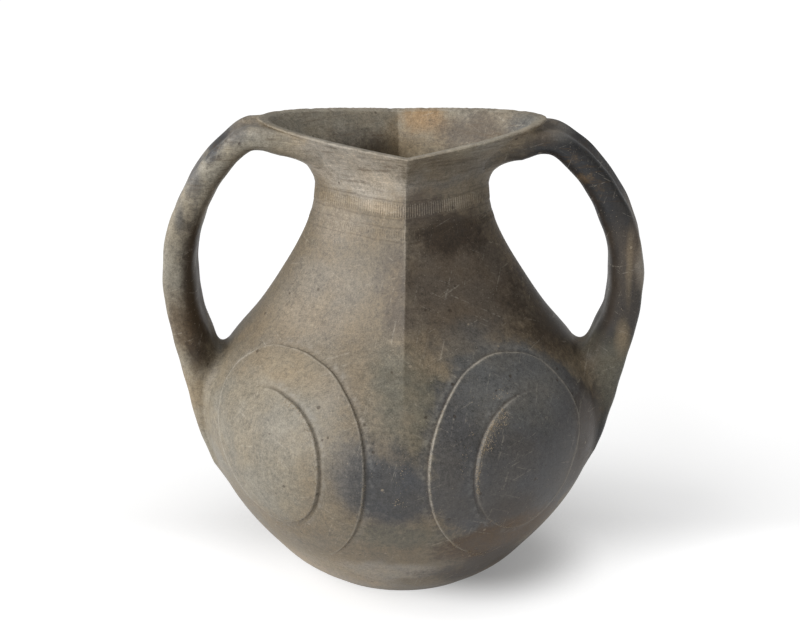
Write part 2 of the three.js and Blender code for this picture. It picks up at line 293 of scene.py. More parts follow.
    def locate(self, points: Numbers) -> tuple[Numbers, Numbers, Numbers]:
        """Finds where points lie against the outer face.

        Args:
            points: points in millimetres.

        Returns:
            The azimuth and the height of the face level with each point, and how far outside it lies.
        """
        azimuth = np.arctan2(points[..., 0], -points[..., 1])
        height = np.clip(points[..., 2], 0, self.ridge_top)
        for _ in range(self.searches):
            wall = self.point(azimuth, height)
            climb = self.search_pull * (points[..., 2] - wall[..., 2])
            height = np.clip(height + climb, 0, self.ridge_top)
            twist = np.arctan2(wall[..., 0], -wall[..., 1]) - np.arctan2(points[..., 0], -points[..., 1])
            azimuth = azimuth - ((twist + math.pi) % (2 * math.pi) - math.pi)
        wall = self.point(azimuth, height)
        gap = np.hypot(points[..., 0], points[..., 1]) - np.hypot(wall[..., 0], wall[..., 1])
        return azimuth, height, gap / self.lean(height)

    def on_face(self, points: Numbers, proud: float) -> Numbers:
        """Returns the points of the outer face level with each point, moved out of it by proud."""
        azimuth, height, _ = self.locate(points)
        highest = self.ridge_top - 1.2 * self.lip_round_drop
        return self.face(azimuth, np.minimum(height, highest), proud)

    def thickness(self, height: Numbers) -> Numbers:
        """Returns the wall's thickness at each height."""
        return mix(self.belly_wall, self.lip_wall, smooth(self.neck_joint, self.ridge_top, height))

    @cached_property
    def arcs(self) -> tuple[Numbers, Numbers]:
        """Heights in steps of 1, and the outline's length from the foot to each."""
        heights = np.arange(0.0, self.ridge_top + 1)
        steps = np.hypot(1.0, np.diff(self.half_width(heights)))
        return heights, np.concatenate([[0.0], np.cumsum(steps)])

    def height_at_arc(self, arc: Numbers) -> Numbers:
        """Returns the height that lies a length up the outline."""
        heights, lengths = self.arcs
        return np.interp(arc, lengths, heights)

    def arc_at_height(self, height: Numbers) -> Numbers:
        """Returns the outline's length from the foot up to a height."""
        heights, lengths = self.arcs
        return np.interp(height, heights, lengths)


class Side(Enum):
    """The side of the front ridge that a part lies on, as the jar is seen from the front."""

    LEFT = -1
    RIGHT = 1


@dataclass(frozen=True)
class SpiralPlan:
    """The plan and the levels of a relief spiral on the belly.

    A turn of 0 degrees points away from the front ridge and 90 points up. The edge runs from its start
    above the eye, once round the eye and out round the band to its tail. The step rises over a first
    stretch of turns, falls over a last one before the tail, and what lies past the tail fades in.
    """

    side: Side
    edge: tuple[tuple[float, float], ...]
    start: float = 45.0
    tail: float = 255.0
    rising: float = 60.0
    falling: float = 75.0
    fading: float = 45.0
    azimuth: float = 41.0
    swing: float = -2.6
    arc_height: float = 150.0
    belly_radius: float = 137.0
    width_share: float = 0.9
    step: float = 2.0
    eye_rise: float = 1.3
    edge_softness: float = 0.75
    # How strongly the inner step's crest is paled, as wear and painted highlight
    inner_wear_and_highlight: float = 0.7
    crust: float = 0.25

    @cached_property
    def outline(self) -> SmoothCurve:
        """The edge's radius over its turn."""
        return SmoothCurve(self.edge)

    @cached_property
    def degree(self) -> float:
        """Length of one degree round the belly, divided by the spiral's width share."""
        return math.radians(1) * self.belly_radius / self.width_share

    @cached_property
    def centre(self) -> float:
        """The centre's angle from the front ridge, in degrees."""
        return self.azimuth + self.swing * self.side.value

    def place(self, form: JarForm, turn: Numbers, radius: Numbers) -> tuple[Numbers, Numbers]:
        """Lays points of the spiral on the wall.

        Args:
            form: the jar's form.
            turn: each point's turn, in degrees.
            radius: its distance from the spiral's centre, along the clay.

        Returns:
            The azimuth in radians and the height of each point.
        """
        angle = np.radians(turn)
        aside = radius * np.cos(angle) / self.degree
        arc = self.arc_height + radius * np.sin(angle)
        return np.radians(self.side.value * (self.centre + aside)), form.height_at_arc(arc)

    def find(self, form: JarForm, azimuth: Numbers, height: Numbers) -> tuple[Numbers, Numbers]:
        """Finds where points of the wall lie on the spiral.

        Args:
            form: the jar's form.
            azimuth: angles from the front ridge, in radians.
            height: heights on the wall.

        Returns:
            Each point's turn in degrees and its radius.
        """
        half = FULL_TURN / 2
        aside = (self.side.value * np.degrees(azimuth) - self.centre + half) % FULL_TURN - half
        across = aside * self.degree
        up = form.arc_at_height(height) - self.arc_height
        return self.once(np.degrees(np.arctan2(up, across))), np.hypot(across, up)

    def once(self, turn: Numbers) -> Numbers:
        """Returns a turn brought into the edge's first pass."""
        return (turn - self.start) % FULL_TURN + self.start

    def inner(self, turn: Numbers) -> Numbers:
        """Returns the radius of the first pass of the edge, round the eye."""
        return self.outline.at(turn)

    def outer(self, turn: Numbers) -> Numbers:
        """Returns the radius of the second pass of the edge, round the band."""
        return self.outline.at(turn + FULL_TURN)

    def rises(self, turn: Numbers) -> tuple[Numbers, Numbers]:
        """Works out the step's height.

        Args:
            turn: turns in degrees.

        Returns:
            The height at the edge's first pass and at its second.
        """
        first = self.step * smooth(self.start, self.start + self.rising, turn)
        second = self.step * (1 - smooth(self.tail - self.falling, self.tail, turn))
        return first, second

    def level(self, turn: Numbers, radius: Numbers) -> Numbers:
        """Works out how far the spiral stands above the belly.

        Args:
            turn: each point's turn, in degrees.
            radius: its distance from the centre.

        Returns:
            The height above the belly at each point.
        """
        eye = self.step * self.eye_rise
        inner, outer = self.inner(turn), self.outer(turn)
        first, second = self.rises(turn)
        start, end = self.inner(self.start), self.outer(self.start)
        start_level = eye + (self.step - eye) * (start / end) ** 2
        seat = start_level * (1 - smooth(self.start, self.tail, turn))
        in_eye = eye + (np.where(turn <= self.tail, seat, 0) + first - eye) * (radius / inner) ** 2
        share = np.clip((radius - inner) / np.maximum(outer - inner, 1), 0, 1)
        even = np.clip((radius**2 - inner**2) / np.maximum(outer**2 - inner**2, 1), 0, 1)
        blend = mix(even, smooth(0, 0.75, share), smooth(self.start, self.start + self.rising, turn))
        band = mix(seat, second, blend)
        gap = radius - inner
        ripple = 0.2 * bump(gap, 1.4, 1.3) - 0.1 * bump(gap, 4.6, 1.3)
        groove = first / self.step * ripple * (turn <= self.tail)
        soft = self.edge_softness
        over_eye = smooth(-soft, soft, inner - radius)
        over_band = smooth(-soft, soft, outer - radius) * (turn <= self.tail)
        return np.where(
            turn <= self.tail,
            over_band * mix(band - groove, in_eye, over_eye),
            over_eye * in_eye,
        )

    def rim(self, turn: Numbers) -> tuple[Numbers, Numbers]:
        """Finds the relief's outermost edge.

        Args:
            turn: turns in degrees.

        Returns:
            The edge's radius and the step's height there.
        """
        first, second = self.rises(turn)
        outside = turn <= self.tail
        return np.where(outside, self.outer(turn), self.inner(turn)), np.where(outside, second, first)


def mesh_from(name: str, points: Numbers, faces: list[tuple[int, ...]] | Numbers) -> bpy.types.Mesh:
    """Builds a mesh in metres whose faces point outwards.

    Args:
        name: the mesh's name.
        points: points in millimetres, one row each.
        faces: indices of each face's corners.

    Returns:
        The new mesh.
    """
    mesh = bpy.data.meshes.new(name)
    rows = [tuple(face) for face in faces]
    mesh.from_pydata((points * METRES_PER_MM).tolist(), [], rows)
    mesh.validate()
    mesh.update()
    volume = 0.0
    for polygon in mesh.polygons:
        volume += polygon.center.dot(polygon.normal) * polygon.area
    if volume < 0:
        mesh.flip_normals()
    return mesh


def add_attribute(mesh: bpy.types.Mesh, name: str, values: Numbers) -> None:
    """Stores one number for each vertex under a name that materials read."""
    attribute = mesh.attributes.new(name, "FLOAT", "POINT")
    attribute.data.foreach_set("value", np.ascontiguousarray(values, np.float32).ravel())


def shade(mesh: bpy.types.Mesh, sharp_over: float) -> None:
    """Shades a mesh smooth, apart from its edges sharper than an angle in degrees."""
    mesh.shade_smooth()
    mesh.set_sharp_from_angle(angle=math.radians(sharp_over))


def link(name: str, mesh: bpy.types.Mesh, material: bpy.types.Material | None = None) -> bpy.types.Object:
    """Puts a mesh in the scene as an object at the origin.

    Args:
        name: the object's name.
        mesh: its mesh.
        material: its only material, where it has one.

    Returns:
        The new object.
    """
    made = bpy.data.objects.new(name, mesh)
    bpy.context.scene.collection.objects.link(made)
    if material is not None:
        mesh.materials.clear()
        mesh.materials.append(material)
    return made


def ring_faces(columns: int, rows: int, closed_rows: bool) -> Numbers:
    """Works out the quads of a grid whose columns close round.

    Args:
        columns: the number of columns.
        rows: the number of points in each.
        closed_rows: whether the last row joins the first.

    Returns:
        Each quad's corners, on points counted column by column.
    """
    spans = rows if closed_rows else rows - 1
    column, row = np.meshgrid(np.arange(columns), np.arange(spans), indexing="ij")
    after, above = (column + 1) % columns, (row + 1) % rows
    corners = (column * rows + row, after * rows + row, after * rows + above, column * rows + above)
    return np.stack([corner.ravel() for corner in corners], axis=-1)


def closed_tube(grid: Numbers, ends: tuple[Numbers, Numbers]) -> tuple[Numbers, list[tuple[int, ...]]]:
    """Closes a tube with a fan of triangles at each end.

    Args:
        grid: the tube's points by column round it and by row along it.
        ends: the middle point of each end.

    Returns:
        All points, with the two middles last, and the faces.
    """
    columns, rows = grid.shape[:2]
    first = columns * rows
    faces = [tuple(face) for face in ring_faces(columns, rows, False)]
    for column in range(columns):
        low, high = column * rows, (column + 1) % columns * rows
        faces.append((first, high, low))
        faces.append((first + 1, low + rows - 1, high + rows - 1))
    return np.concatenate([grid.reshape(-1, 3), *ends]), faces


def baked(made: bpy.types.Object) -> bpy.types.Object:
    """Turns an object's evaluated geometry into a plain mesh and drops its modifiers.

    Args:
        made: the object.

    Returns:
        The same object.
    """
    bpy.context.view_layer.update()
    evaluated = made.evaluated_get(bpy.context.evaluated_depsgraph_get())
    mesh = bpy.data.meshes.new_from_object(evaluated)
    made.modifiers.clear()
    made.data = mesh
    return made


def hand_over(piece: bpy.types.Object, node: str | None = None) -> None:
    """Hangs a finished piece on the jar's body, hides the part that it stands for and logs its faces.

    Args:
        piece: the finished object.
        node: the node it stands for, where it stands for one.
    """
    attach(piece, ROOT)
    if node is not None:
        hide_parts(node)
    LOG.info("%s: %d faces", piece.name, len(piece.data.polygons))


def dressed(
    node: str,
    mesh: bpy.types.Mesh,
    marks: dict[str, Numbers],
    material: bpy.types.Material,
    sharp_over: float = SHARP_OVER,
) -> bpy.types.Object:
    """Finishes the piece of clay that stands for a node.

    Args:
        node: the node's name.
        mesh: its mesh.
        marks: the marks that its finish reads, by name, one number for each vertex.
        material: its finish.
        sharp_over: the angle in degrees past which an edge stays sharp.

    Returns:
        The finished object.
    """
    for name, values in marks.items():
        add_attribute(mesh, name, values)
    shade(mesh, sharp_over)
    made = link(f"{node}_clay", mesh, material)
    hand_over(made, node)
    return made


class Term:
    """A node's value that takes part in Python expressions."""

    def __init__(self, board: "Board", socket: bpy.types.NodeSocket) -> None:
        """Wraps a node's output socket."""
        self.board = board
        self.socket = socket

    def _with(self, operation: str, *others: "Term | float") -> "Term":
        """Returns this value joined with others by a Math node."""
        return self.board.maths(operation, self, *others)

    def __add__(self, other: "Term | float") -> "Term":
        """Returns self + other."""
        return self._with("ADD", other)

    __radd__ = __add__

    def __sub__(self, other: "Term | float") -> "Term":
        """Returns self - other."""
        return self._with("SUBTRACT", other)

    def __rsub__(self, other: "Term | float") -> "Term":
        """Returns other - self."""
        return self.board.maths("SUBTRACT", other, self)

    def __mul__(self, other: "Term | float") -> "Term":
        """Returns self * other."""
        return self._with("MULTIPLY", other)

    __rmul__ = __mul__

    def swing(self, amount: float) -> "Term":
        """Returns a value of 0 to 1 made to swing about 0, by half an amount each way."""
        return (self - 0.5) * amount


class Board:
    """Fills one node tree."""

    def __init__(self, tree: bpy.types.NodeTree) -> None:
        """Starts from a tree, which it empties."""
        self.tree = tree
        self.tree.nodes.clear()

    def node(
        self,
        kind: str,
        settings: dict[str, Any] | None = None,
        inputs: dict[int | str, Any] | None = None,
    ) -> bpy.types.Node:
        """Adds a node.

        Args:
            kind: the node's type.
            settings: its settings, set first.
            inputs: a value or a Term for each socket, by index or name.

        Returns:
            The new node.
        """
        made = self.tree.nodes.new(kind)
        for key, value in (settings or {}).items():
            setattr(made, key, value)
        for key, value in (inputs or {}).items():
            if isinstance(value, Term):
                self.tree.links.new(value.socket, made.inputs[key])
            else:
                made.inputs[key].default_value = value
        return made

    def out(self, made: bpy.types.Node, key: int | str = 0) -> Term:
        """Returns one of a node's outputs."""
        return Term(self, made.outputs[key])

    def maths(self, operation: str, *values: "Term | float") -> Term:
        """Returns the result of a Math node on one to three values."""
        made = self.node("ShaderNodeMath", {"operation": operation}, dict(enumerate(values)))
        return self.out(made)


class Growth(Board):
    """Builds one Geometry Nodes tree, whose sizes come in by name."""

    def __init__(self, name: str, sizes: dict[str, str]) -> None:
        """Starts a tree that takes a geometry, sizes and a clay and gives a geometry.

        Args:
            name: the tree's name.
            sizes: the kind of each size that comes in, by its name.
        """
        tree = bpy.data.node_groups.new(name, "GeometryNodeTree")
        kinds = {"Geometry": "Geometry", **sizes, "Clay": "Material"}
        for key, kind in kinds.items():
            tree.interface.new_socket(name=key, in_out="INPUT", socket_type=f"NodeSocket{kind}")
        tree.interface.new_socket(name="Geometry", in_out="OUTPUT", socket_type="NodeSocketGeometry")
        super().__init__(tree)
        self.entry = self.node("NodeGroupInput")

    def given(self, name: str) -> Term:
        """Returns what comes in under a name."""
        return self.out(self.entry, name)

    def finish(self, geometry: Term) -> bpy.types.NodeTree:
        """Makes instances real, sets their material and ends the tree.

        Args:
            geometry: the finished geometry, which may hold instances.

        Returns:
            The whole tree.
        """
        real = self.node("GeometryNodeRealizeInstances", {}, {"Geometry": geometry})
        clad = {"Geometry": self.out(real), "Material": self.given("Clay")}
        painted = self.node("GeometryNodeSetMaterial", {}, clad)
        self.node("NodeGroupOutput", {}, {"Geometry": self.out(painted)})
        return self.tree

    def attribute(self, name: str, kind: str) -> Term:
        """Returns what is stored on the mesh under a name."""
        return self.out(self.node("GeometryNodeInputNamedAttribute", {"data_type": kind}, {"Name": name}))

    def drawn(self, low: tuple[float, ...], high: tuple[float, ...]) -> Term:
        """Draws a vector at random for each point.

        Args:
            low: the least that each number can be.
            high: the most.

        Returns:
            A vector for each point, drawn by the seed that comes in.
        """
        inputs = {0: low, 1: high, "Seed": self.given("Seed")}
        return self.out(self.node("FunctionNodeRandomValue", {"data_type": "FLOAT_VECTOR"}, inputs))

    def planted(self, points: Term, instance: Term, rotation: Term, scale: Term) -> bpy.types.NodeTree:
        """Sets an instance on each point and ends the tree."""
        inputs = {"Points": points, "Instance": instance, "Rotation": rotation, "Scale": scale}
        return self.finish(self.out(self.node("GeometryNodeInstanceOnPoints", {}, inputs)))

    @staticmethod
    def run(made: bpy.types.Object, tree: bpy.types.NodeTree, values: dict[str, Any]) -> None:
        """Runs a tree on an object and keeps the result as a plain mesh.

        Args:
            made: the object, whose mesh goes in.
            tree: the tree.
            values: what its inputs are set to, by name.
        """
        modifier = made.modifiers.new(tree.name, "NODES")
        modifier.node_group = tree
        for item in tree.interface.items_tree:
            if item.item_type == "SOCKET" and item.in_out == "INPUT" and item.name in values:
                modifier[item.identifier] = values[item.name]
        baked(made)


class Sheet(Board):
    """Builds one material's nodes."""

    def __init__(self, name: str) -> None:
        """Starts a material that has only its places.

        Args:
            name: the material's name.
        """
        self.material = bpy.data.materials.new(name)
        self.material.use_nodes = True
        super().__init__(self.material.node_tree)
        self.place = self.out(self.node("ShaderNodeTexCoord"), "Object")

    def finish(self, surface: bpy.types.Node) -> bpy.types.Material:
        """Ends the material with its surface."""
        self.node("ShaderNodeOutputMaterial", {}, {"Surface": self.out(surface)})
        return self.material

    def vector(self, operation: str, *values: Any) -> Term:
        """Returns the vector result of a Vector Math node."""
        made = self.node("ShaderNodeVectorMath", {"operation": operation}, dict(enumerate(values)))
        return self.out(made)

    def length(self, value: Term) -> Term:
        """Returns a vector's length."""
        return self.out(self.node("ShaderNodeVectorMath", {"operation": "LENGTH"}, {0: value}), "Value")

    def step(self, value: Term, start: float, end: float, low: float = 0.0, high: float = 1.0) -> Term:
        """Makes a soft step.

        Args:
            value: the number that steps it.
            start: the value at which it leaves low.
            end: the value at which it comes to high.
            low: the result up to start.
            high: the result from end on.

        Returns:
            The step's value.
        """
        settings = {"interpolation_type": "SMOOTHSTEP"}
        inputs = {"Value": value, "From Min": start, "From Max": end, "To Min": low, "To Max": high}
        return self.out(self.node("ShaderNodeMapRange", settings, inputs))

    def dots(self, shift: float, scale: float, size: float, soft: float, ragged: Term) -> Term:
        """Scatters round dots.

        Args:
            shift: how far the dots are moved, which tells two sets apart.
            scale: dots along a metre.
            size: a dot's radius, as a share of their spacing.
            soft: the width of its edge, as such a share.
            ragged: what makes its edge uneven.

        Returns:
            1 in the dots and 0 between them.
        """
        moved = self.vector("ADD", self.place, (shift, 2 * shift, 3 * shift))
        cells = self.node("ShaderNodeTexVoronoi", {}, {"Vector": moved, "Scale": scale})
        return self.step(self.out(cells, "Distance") + ragged, size + soft, size)

    def noise(self, place: Term, scale: float, detail: float = 2.0, roughness: float = 0.5) -> Term:
        """Returns a noise value of about 0 to 1 at a place in metres."""
        inputs = {"Vector": place, "Scale": scale, "Detail": detail, "Roughness": roughness}
        return self.out(self.node("ShaderNodeTexNoise", {}, inputs), "Fac")

    def blend(self, share: Term, first: Any, second: Any) -> Term:
        """Blends one colour over another.

        Args:
            share: how much of the second colour shows.
            first: the colour below.
            second: the colour above.

        Returns:
            The blended colour.
        """
        settings = {"data_type": "RGBA", "blend_type": "MIX", "clamp_factor": True}
        first = (*first, 1.0) if isinstance(first, tuple) else first
        second = (*second, 1.0) if isinstance(second, tuple) else second
        return self.out(self.node("ShaderNodeMix", settings, {0: share, 6: first, 7: second}), 2)

    def scaled(self, colour: Term, share: Term | float) -> Term:
        """Returns a colour made lighter or darker by a share."""
        inputs = {0: colour, "Scale": share}
        return self.out(self.node("ShaderNodeVectorMath", {"operation": "SCALE"}, inputs))

    def attribute(self, name: str) -> Term:
        """Returns a number stored on the mesh."""
        return self.out(self.node("ShaderNodeAttribute", {"attribute_name": name}), "Fac")


class Clay(Enum):
    """The fired clay's colours, from bare sand to smoked black."""

    SAND = (0.43, 0.355, 0.265)
    ASH = (0.37, 0.325, 0.265)
    TAN = (0.31, 0.245, 0.16)
    OCHRE = (0.38, 0.245, 0.12)
    PUTTY = (0.28, 0.25, 0.195)
    WARM_GREY = (0.215, 0.175, 0.122)
    OLIVE = (0.155, 0.143, 0.108)
    STEEL = (0.15, 0.148, 0.14)
    TAUPE = (0.125, 0.098, 0.072)
    CHALK = (0.52, 0.47, 0.39)
    # A pale neutral grey for the painted sheen
    BLOOM = (0.33, 0.325, 0.31)
    SLATE = (0.103, 0.099, 0.096)
    NIGHT = (0.072, 0.074, 0.078)
    BROWN = (0.092, 0.056, 0.026)
    UMBER = (0.05, 0.034, 0.021)
    BLACK = (0.022, 0.022, 0.023)


@dataclass(frozen=True)
class Stain:
    """A cloud of colour that the kiln's smoke, wear or soil left on the clay.

    It is placed by its azimuth in degrees and its height, on the wall or at its own reach from the axis.
    A loose stain's edge wanders further.
    """

    clay: Clay
    azimuth: float
    height: float
    size: tuple[float, float, float]
    strength: float = 1.0
    core: float = 0.25
    reach: float | None = None
    loose: float = 1.0

    def centre(self, form: JarForm) -> tuple[float, float, float]:
        """Finds the stain's middle.

        Args:
            form: the jar's form.

        Returns:
            The point, in metres.
        """
        angle = math.radians(self.azimuth)
        if self.reach is None:
            point = form.point(np.array(angle), np.array(self.height))
        else:
            point = (self.reach * math.sin(angle), -self.reach * math.cos(angle), self.height)
        return tuple(float(value) * METRES_PER_MM for value in point)


# Clouds on the outer wall, the front's before the back's
WALL_STAINS: tuple[Stain, ...] = (
    Stain(Clay.ASH, -45, 296, (60, 54, 32), 1.0, 0.6),
    Stain(Clay.SAND, -30, 271, (26, 24, 6), 0.6, 0.4),
    Stain(Clay.ASH, -62, 258, (36, 38, 24), 0.6),
    Stain(Clay.ASH, -54, 206, (64, 50, 52), 0.35, 0.3),
    Stain(Clay.TAUPE, 42, 222, (66, 84, 62), 0.95, 0.45, loose=0.6),
    Stain(Clay.UMBER, 46, 254, (44, 44, 25), 0.9, 0.4),
    Stain(Clay.STEEL, 34, 296, (46, 42, 17), 0.95, 0.4),
    Stain(Clay.WARM_GREY, 34, 298, (44, 40, 16), 0.8, 0.4, loose=1.6),
    Stain(Clay.TAUPE, 14, 272, (20, 26, 18), 0.95),
    Stain(Clay.PUTTY, 44, 309, (40, 36, 9), 0.75),
    Stain(Clay.STEEL, 32, 186, (40, 36, 22), 0.55),
    Stain(Clay.UMBER, 80, 186, (46, 54, 54), 0.85),
    Stain(Clay.OLIVE, -3, 170, (28, 44, 50), 0.85),
    Stain(Clay.TAUPE, -1, 206, (18, 30, 26), 0.75),
    Stain(Clay.OLIVE, 12, 148, (34, 42, 54), 0.85, 0.45, loose=0.7),
    Stain(Clay.ASH, -29, 160, (30, 26, 34), 0.35, 0.3),
    Stain(Clay.PUTTY, -46, 130, (78, 64, 76), 0.85, 0.5, loose=0.6),
    Stain(Clay.TAN, -46, 170, (46, 40, 20), 0.6),
    Stain(Clay.TAN, -25, 84, (24, 20, 12), 0.35, loose=1.6),
    Stain(Clay.PUTTY, -42, 93, (44, 44, 26), 0.8),
    Stain(Clay.SLATE, -13, 116, (26, 32, 34), 0.8, loose=0.7),
    Stain(Clay.NIGHT, -2, 108, (38, 44, 40), 0.95, 0.4, loose=0.7),
    Stain(Clay.OLIVE, 0, 70, (50, 44, 16), 0.7),
    Stain(Clay.PUTTY, -76, 118, (40, 54, 80), 0.8),
    Stain(Clay.SAND, -36, 20, (66, 58, 28), 0.8, 0.4),
    Stain(Clay.TAN, -34, 34, (60, 52, 18), 0.55, 0.3),
    Stain(Clay.ASH, -2, 33, (46, 40, 15), 0.95, 0.4),
    Stain(Clay.SLATE, 40, 120, (90, 86, 76), 1.0, 0.82, loose=0.4),
    # Steel grey over the right spiral's upper half: partly the clay's tone, partly painted light from
    # above
    Stain(Clay.STEEL, 43, 160, (60, 48, 36), 0.95, 0.5),
    Stain(Clay.TAUPE, 57, 98, (26, 34, 30), 0.3),
    Stain(Clay.UMBER, 68, 114, (28, 42, 50), 1.0, 0.4),
    Stain(Clay.UMBER, 33, 84, (36, 30, 20), 0.55, 0.2),
    # The two clouds below, dark low on the right: partly the clay's tone, partly painted shade
    Stain(Clay.BROWN, 36, 56, (64, 54, 28), 1.0, 0.6),
    Stain(Clay.UMBER, 38, 28, (60, 56, 26), 0.95, 0.45),
    Stain(Clay.TAUPE, 150, 200, (80, 70, 90), 0.8),
    Stain(Clay.PUTTY, -150, 250, (60, 50, 60), 0.7),
    Stain(Clay.SLATE, 165, 105, (90, 70, 50), 0.85),
    Stain(Clay.TAN, -140, 60, (80, 70, 50), 0.8),
    Stain(Clay.BROWN, 135, 50, (70, 60, 36), 0.8),
)

# Pale clay that the comb turned up on the darker side of the ridge
COMBED_STAINS: tuple[Stain, ...] = (*WALL_STAINS, Stain(Clay.ASH, 34, 270, (54, 44, 14), 0.35, 0.4))

# Clouds inside the mouth
MOUTH_STAINS: tuple[Stain, ...] = (
    Stain(Clay.PUTTY, -105, 304, (34, 30, 22), 0.6),
    Stain(Clay.UMBER, -162, 286, (32, 28, 18), 0.8),
    Stain(Clay.TAUPE, -130, 296, (40, 34, 12), 0.35, loose=1.8),
    Stain(Clay.TAN, 158, 294, (34, 30, 30), 0.85, 0.4),
    Stain(Clay.OCHRE, 160, 306, (22, 22, 14), 0.85, 0.3, loose=1.4),
    Stain(Clay.TAUPE, 112, 300, (46, 34, 24), 0.85),
    Stain(Clay.STEEL, 97, 306, (22, 26, 12), 0.7),
)

# Clouds on the left strap
LEFT_STRAP_STAINS: tuple[Stain, ...] = (
    Stain(Clay.ASH, -90, 320, (26, 40, 12), 0.7, 0.25, 94),
    Stain(Clay.SLATE, -90, 318, (30, 60, 20), 0.8, 0.5, 118),
    Stain(Clay.NIGHT, -90, 309, (19, 60, 17), 1.0, 0.5, 130),
    Stain(Clay.BLACK, -90, 312, (20, 60, 17), 0.8, 0.4, 130),
    Stain(Clay.SLATE, -90, 288, (10, 60, 30), 0.9, 0.4, 140),
    Stain(Clay.NIGHT, -90, 262, (6, 50, 22), 0.7, 0.3, 149),
    Stain(Clay.UMBER, -90, 205, (12, 60, 80), 0.95, 0.5, 140),
    Stain(Clay.BROWN, -90, 184, (18, 60, 34), 0.75, 0.3, 150),
    Stain(Clay.UMBER, -90, 158, (14, 60, 26), 0.7, 0.3, 136),
    Stain(Clay.TAN, -90, 128, (40, 60, 34), 0.85, 0.4, 146),
)

# Clouds on the right strap
RIGHT_STRAP_STAINS: tuple[Stain, ...] = (
    Stain(Clay.TAUPE, 90, 318, (28, 40, 14), 0.8, 0.3, 94),
    Stain(Clay.STEEL, 90, 316, (20, 40, 10), 0.8, 0.35, 112),
    Stain(Clay.OCHRE, 90, 298, (8, 40, 5), 0.35, 0.0, 114, 5.0),
    Stain(Clay.OCHRE, 90, 286, (7, 40, 6), 0.35, 0.0, 121, 5.0),
    Stain(Clay.OCHRE, 90, 275, (6, 40, 8), 0.35, 0.0, 132, 5.0),
    Stain(Clay.TAUPE, 90, 238, (16, 60, 42), 0.95, 0.45, 160),
    Stain(Clay.TAUPE, 90, 236, (14, 60, 40), 0.4, 0.4, 146),
    Stain(Clay.BLACK, 90, 222, (4, 60, 52), 0.6, 0.2, 143.5, 0.6),
    Stain(Clay.TAN, 90, 226, (3.5, 60, 44), 0.5, 0.2, 153, 0.9),
    Stain(Clay.TAUPE, 90, 192, (24, 60, 34), 0.3, 0.4, 148),
    Stain(Clay.ASH, 90, 224, (13, 60, 36), 0.95, 0.5, 168),
    Stain(Clay.OLIVE, 90, 146, (44, 60, 42), 0.85, 0.45, 146),
    Stain(Clay.TAN, 90, 172, (9, 50, 22), 0.85, 0.25, 150),
)


class ClaySheet(Sheet):
    """A clay material's nodes, with the patterns that its marks share."""

    def __init__(self, name: str, form: JarForm) -> None:
        """Starts the material and lays its patterns.

        Args:
            name: the material's name.
            form: the jar's form, which places the stains.
        """
        super().__init__(name)
        self.form = form
        self.broad = self.noise(self.place, 22, 4, 0.55)
        self.cloudy = self.noise(self.place, 70, 5, 0.62)
        self.fine = self.noise(self.place, 330, 4, 0.65)
        self.dust = self.noise(self.place, 1050, 3, 0.65)
        self.level = self.noise(self.vector("MULTIPLY", self.place, (1.0, 1.0, 9.0)), 60, 5, 0.62)
        self.upright = self.noise(self.vector("MULTIPLY", self.place, (9.0, 9.0, 1.0)), 60, 4, 0.6)
        self.tint = self.noise(self.vector("ADD", self.place, (3.0, 5.0, 7.0)), 34, 4, 0.6)
        self.wander = self.broad.swing(0.9) + self.cloudy.swing(0.8) + self.fine.swing(0.4)

    def cloud(self, stain: Stain, wander: Term) -> Term:
        """Lays a stain.

        Args:
            stain: the stain.
            wander: how far its edge is moved at each place.

        Returns:
            How much of the stain shows.
        """
        size = tuple(1 / (value * METRES_PER_MM) for value in stain.size)
        away = self.vector("SUBTRACT", self.place, stain.centre(self.form))
        distance = self.length(self.vector("MULTIPLY", away, size))
        return self.step(distance + wander * stain.loose, 1.0, stain.core, 0.0, stain.strength)

    def painted(self, ground: Clay, stains: Sequence[Stain], wander: Term) -> Term:
        """Lays stains over a ground.

        Args:
            ground: the clay below.
            stains: the clouds over it, in order.
            wander: how far their edges are moved at each place.

        Returns:
            The colour.
        """
        colour: Any = ground.value
        for stain in stains:
            colour = self.blend(self.cloud(stain, wander), colour, stain.clay.value)
        return colour


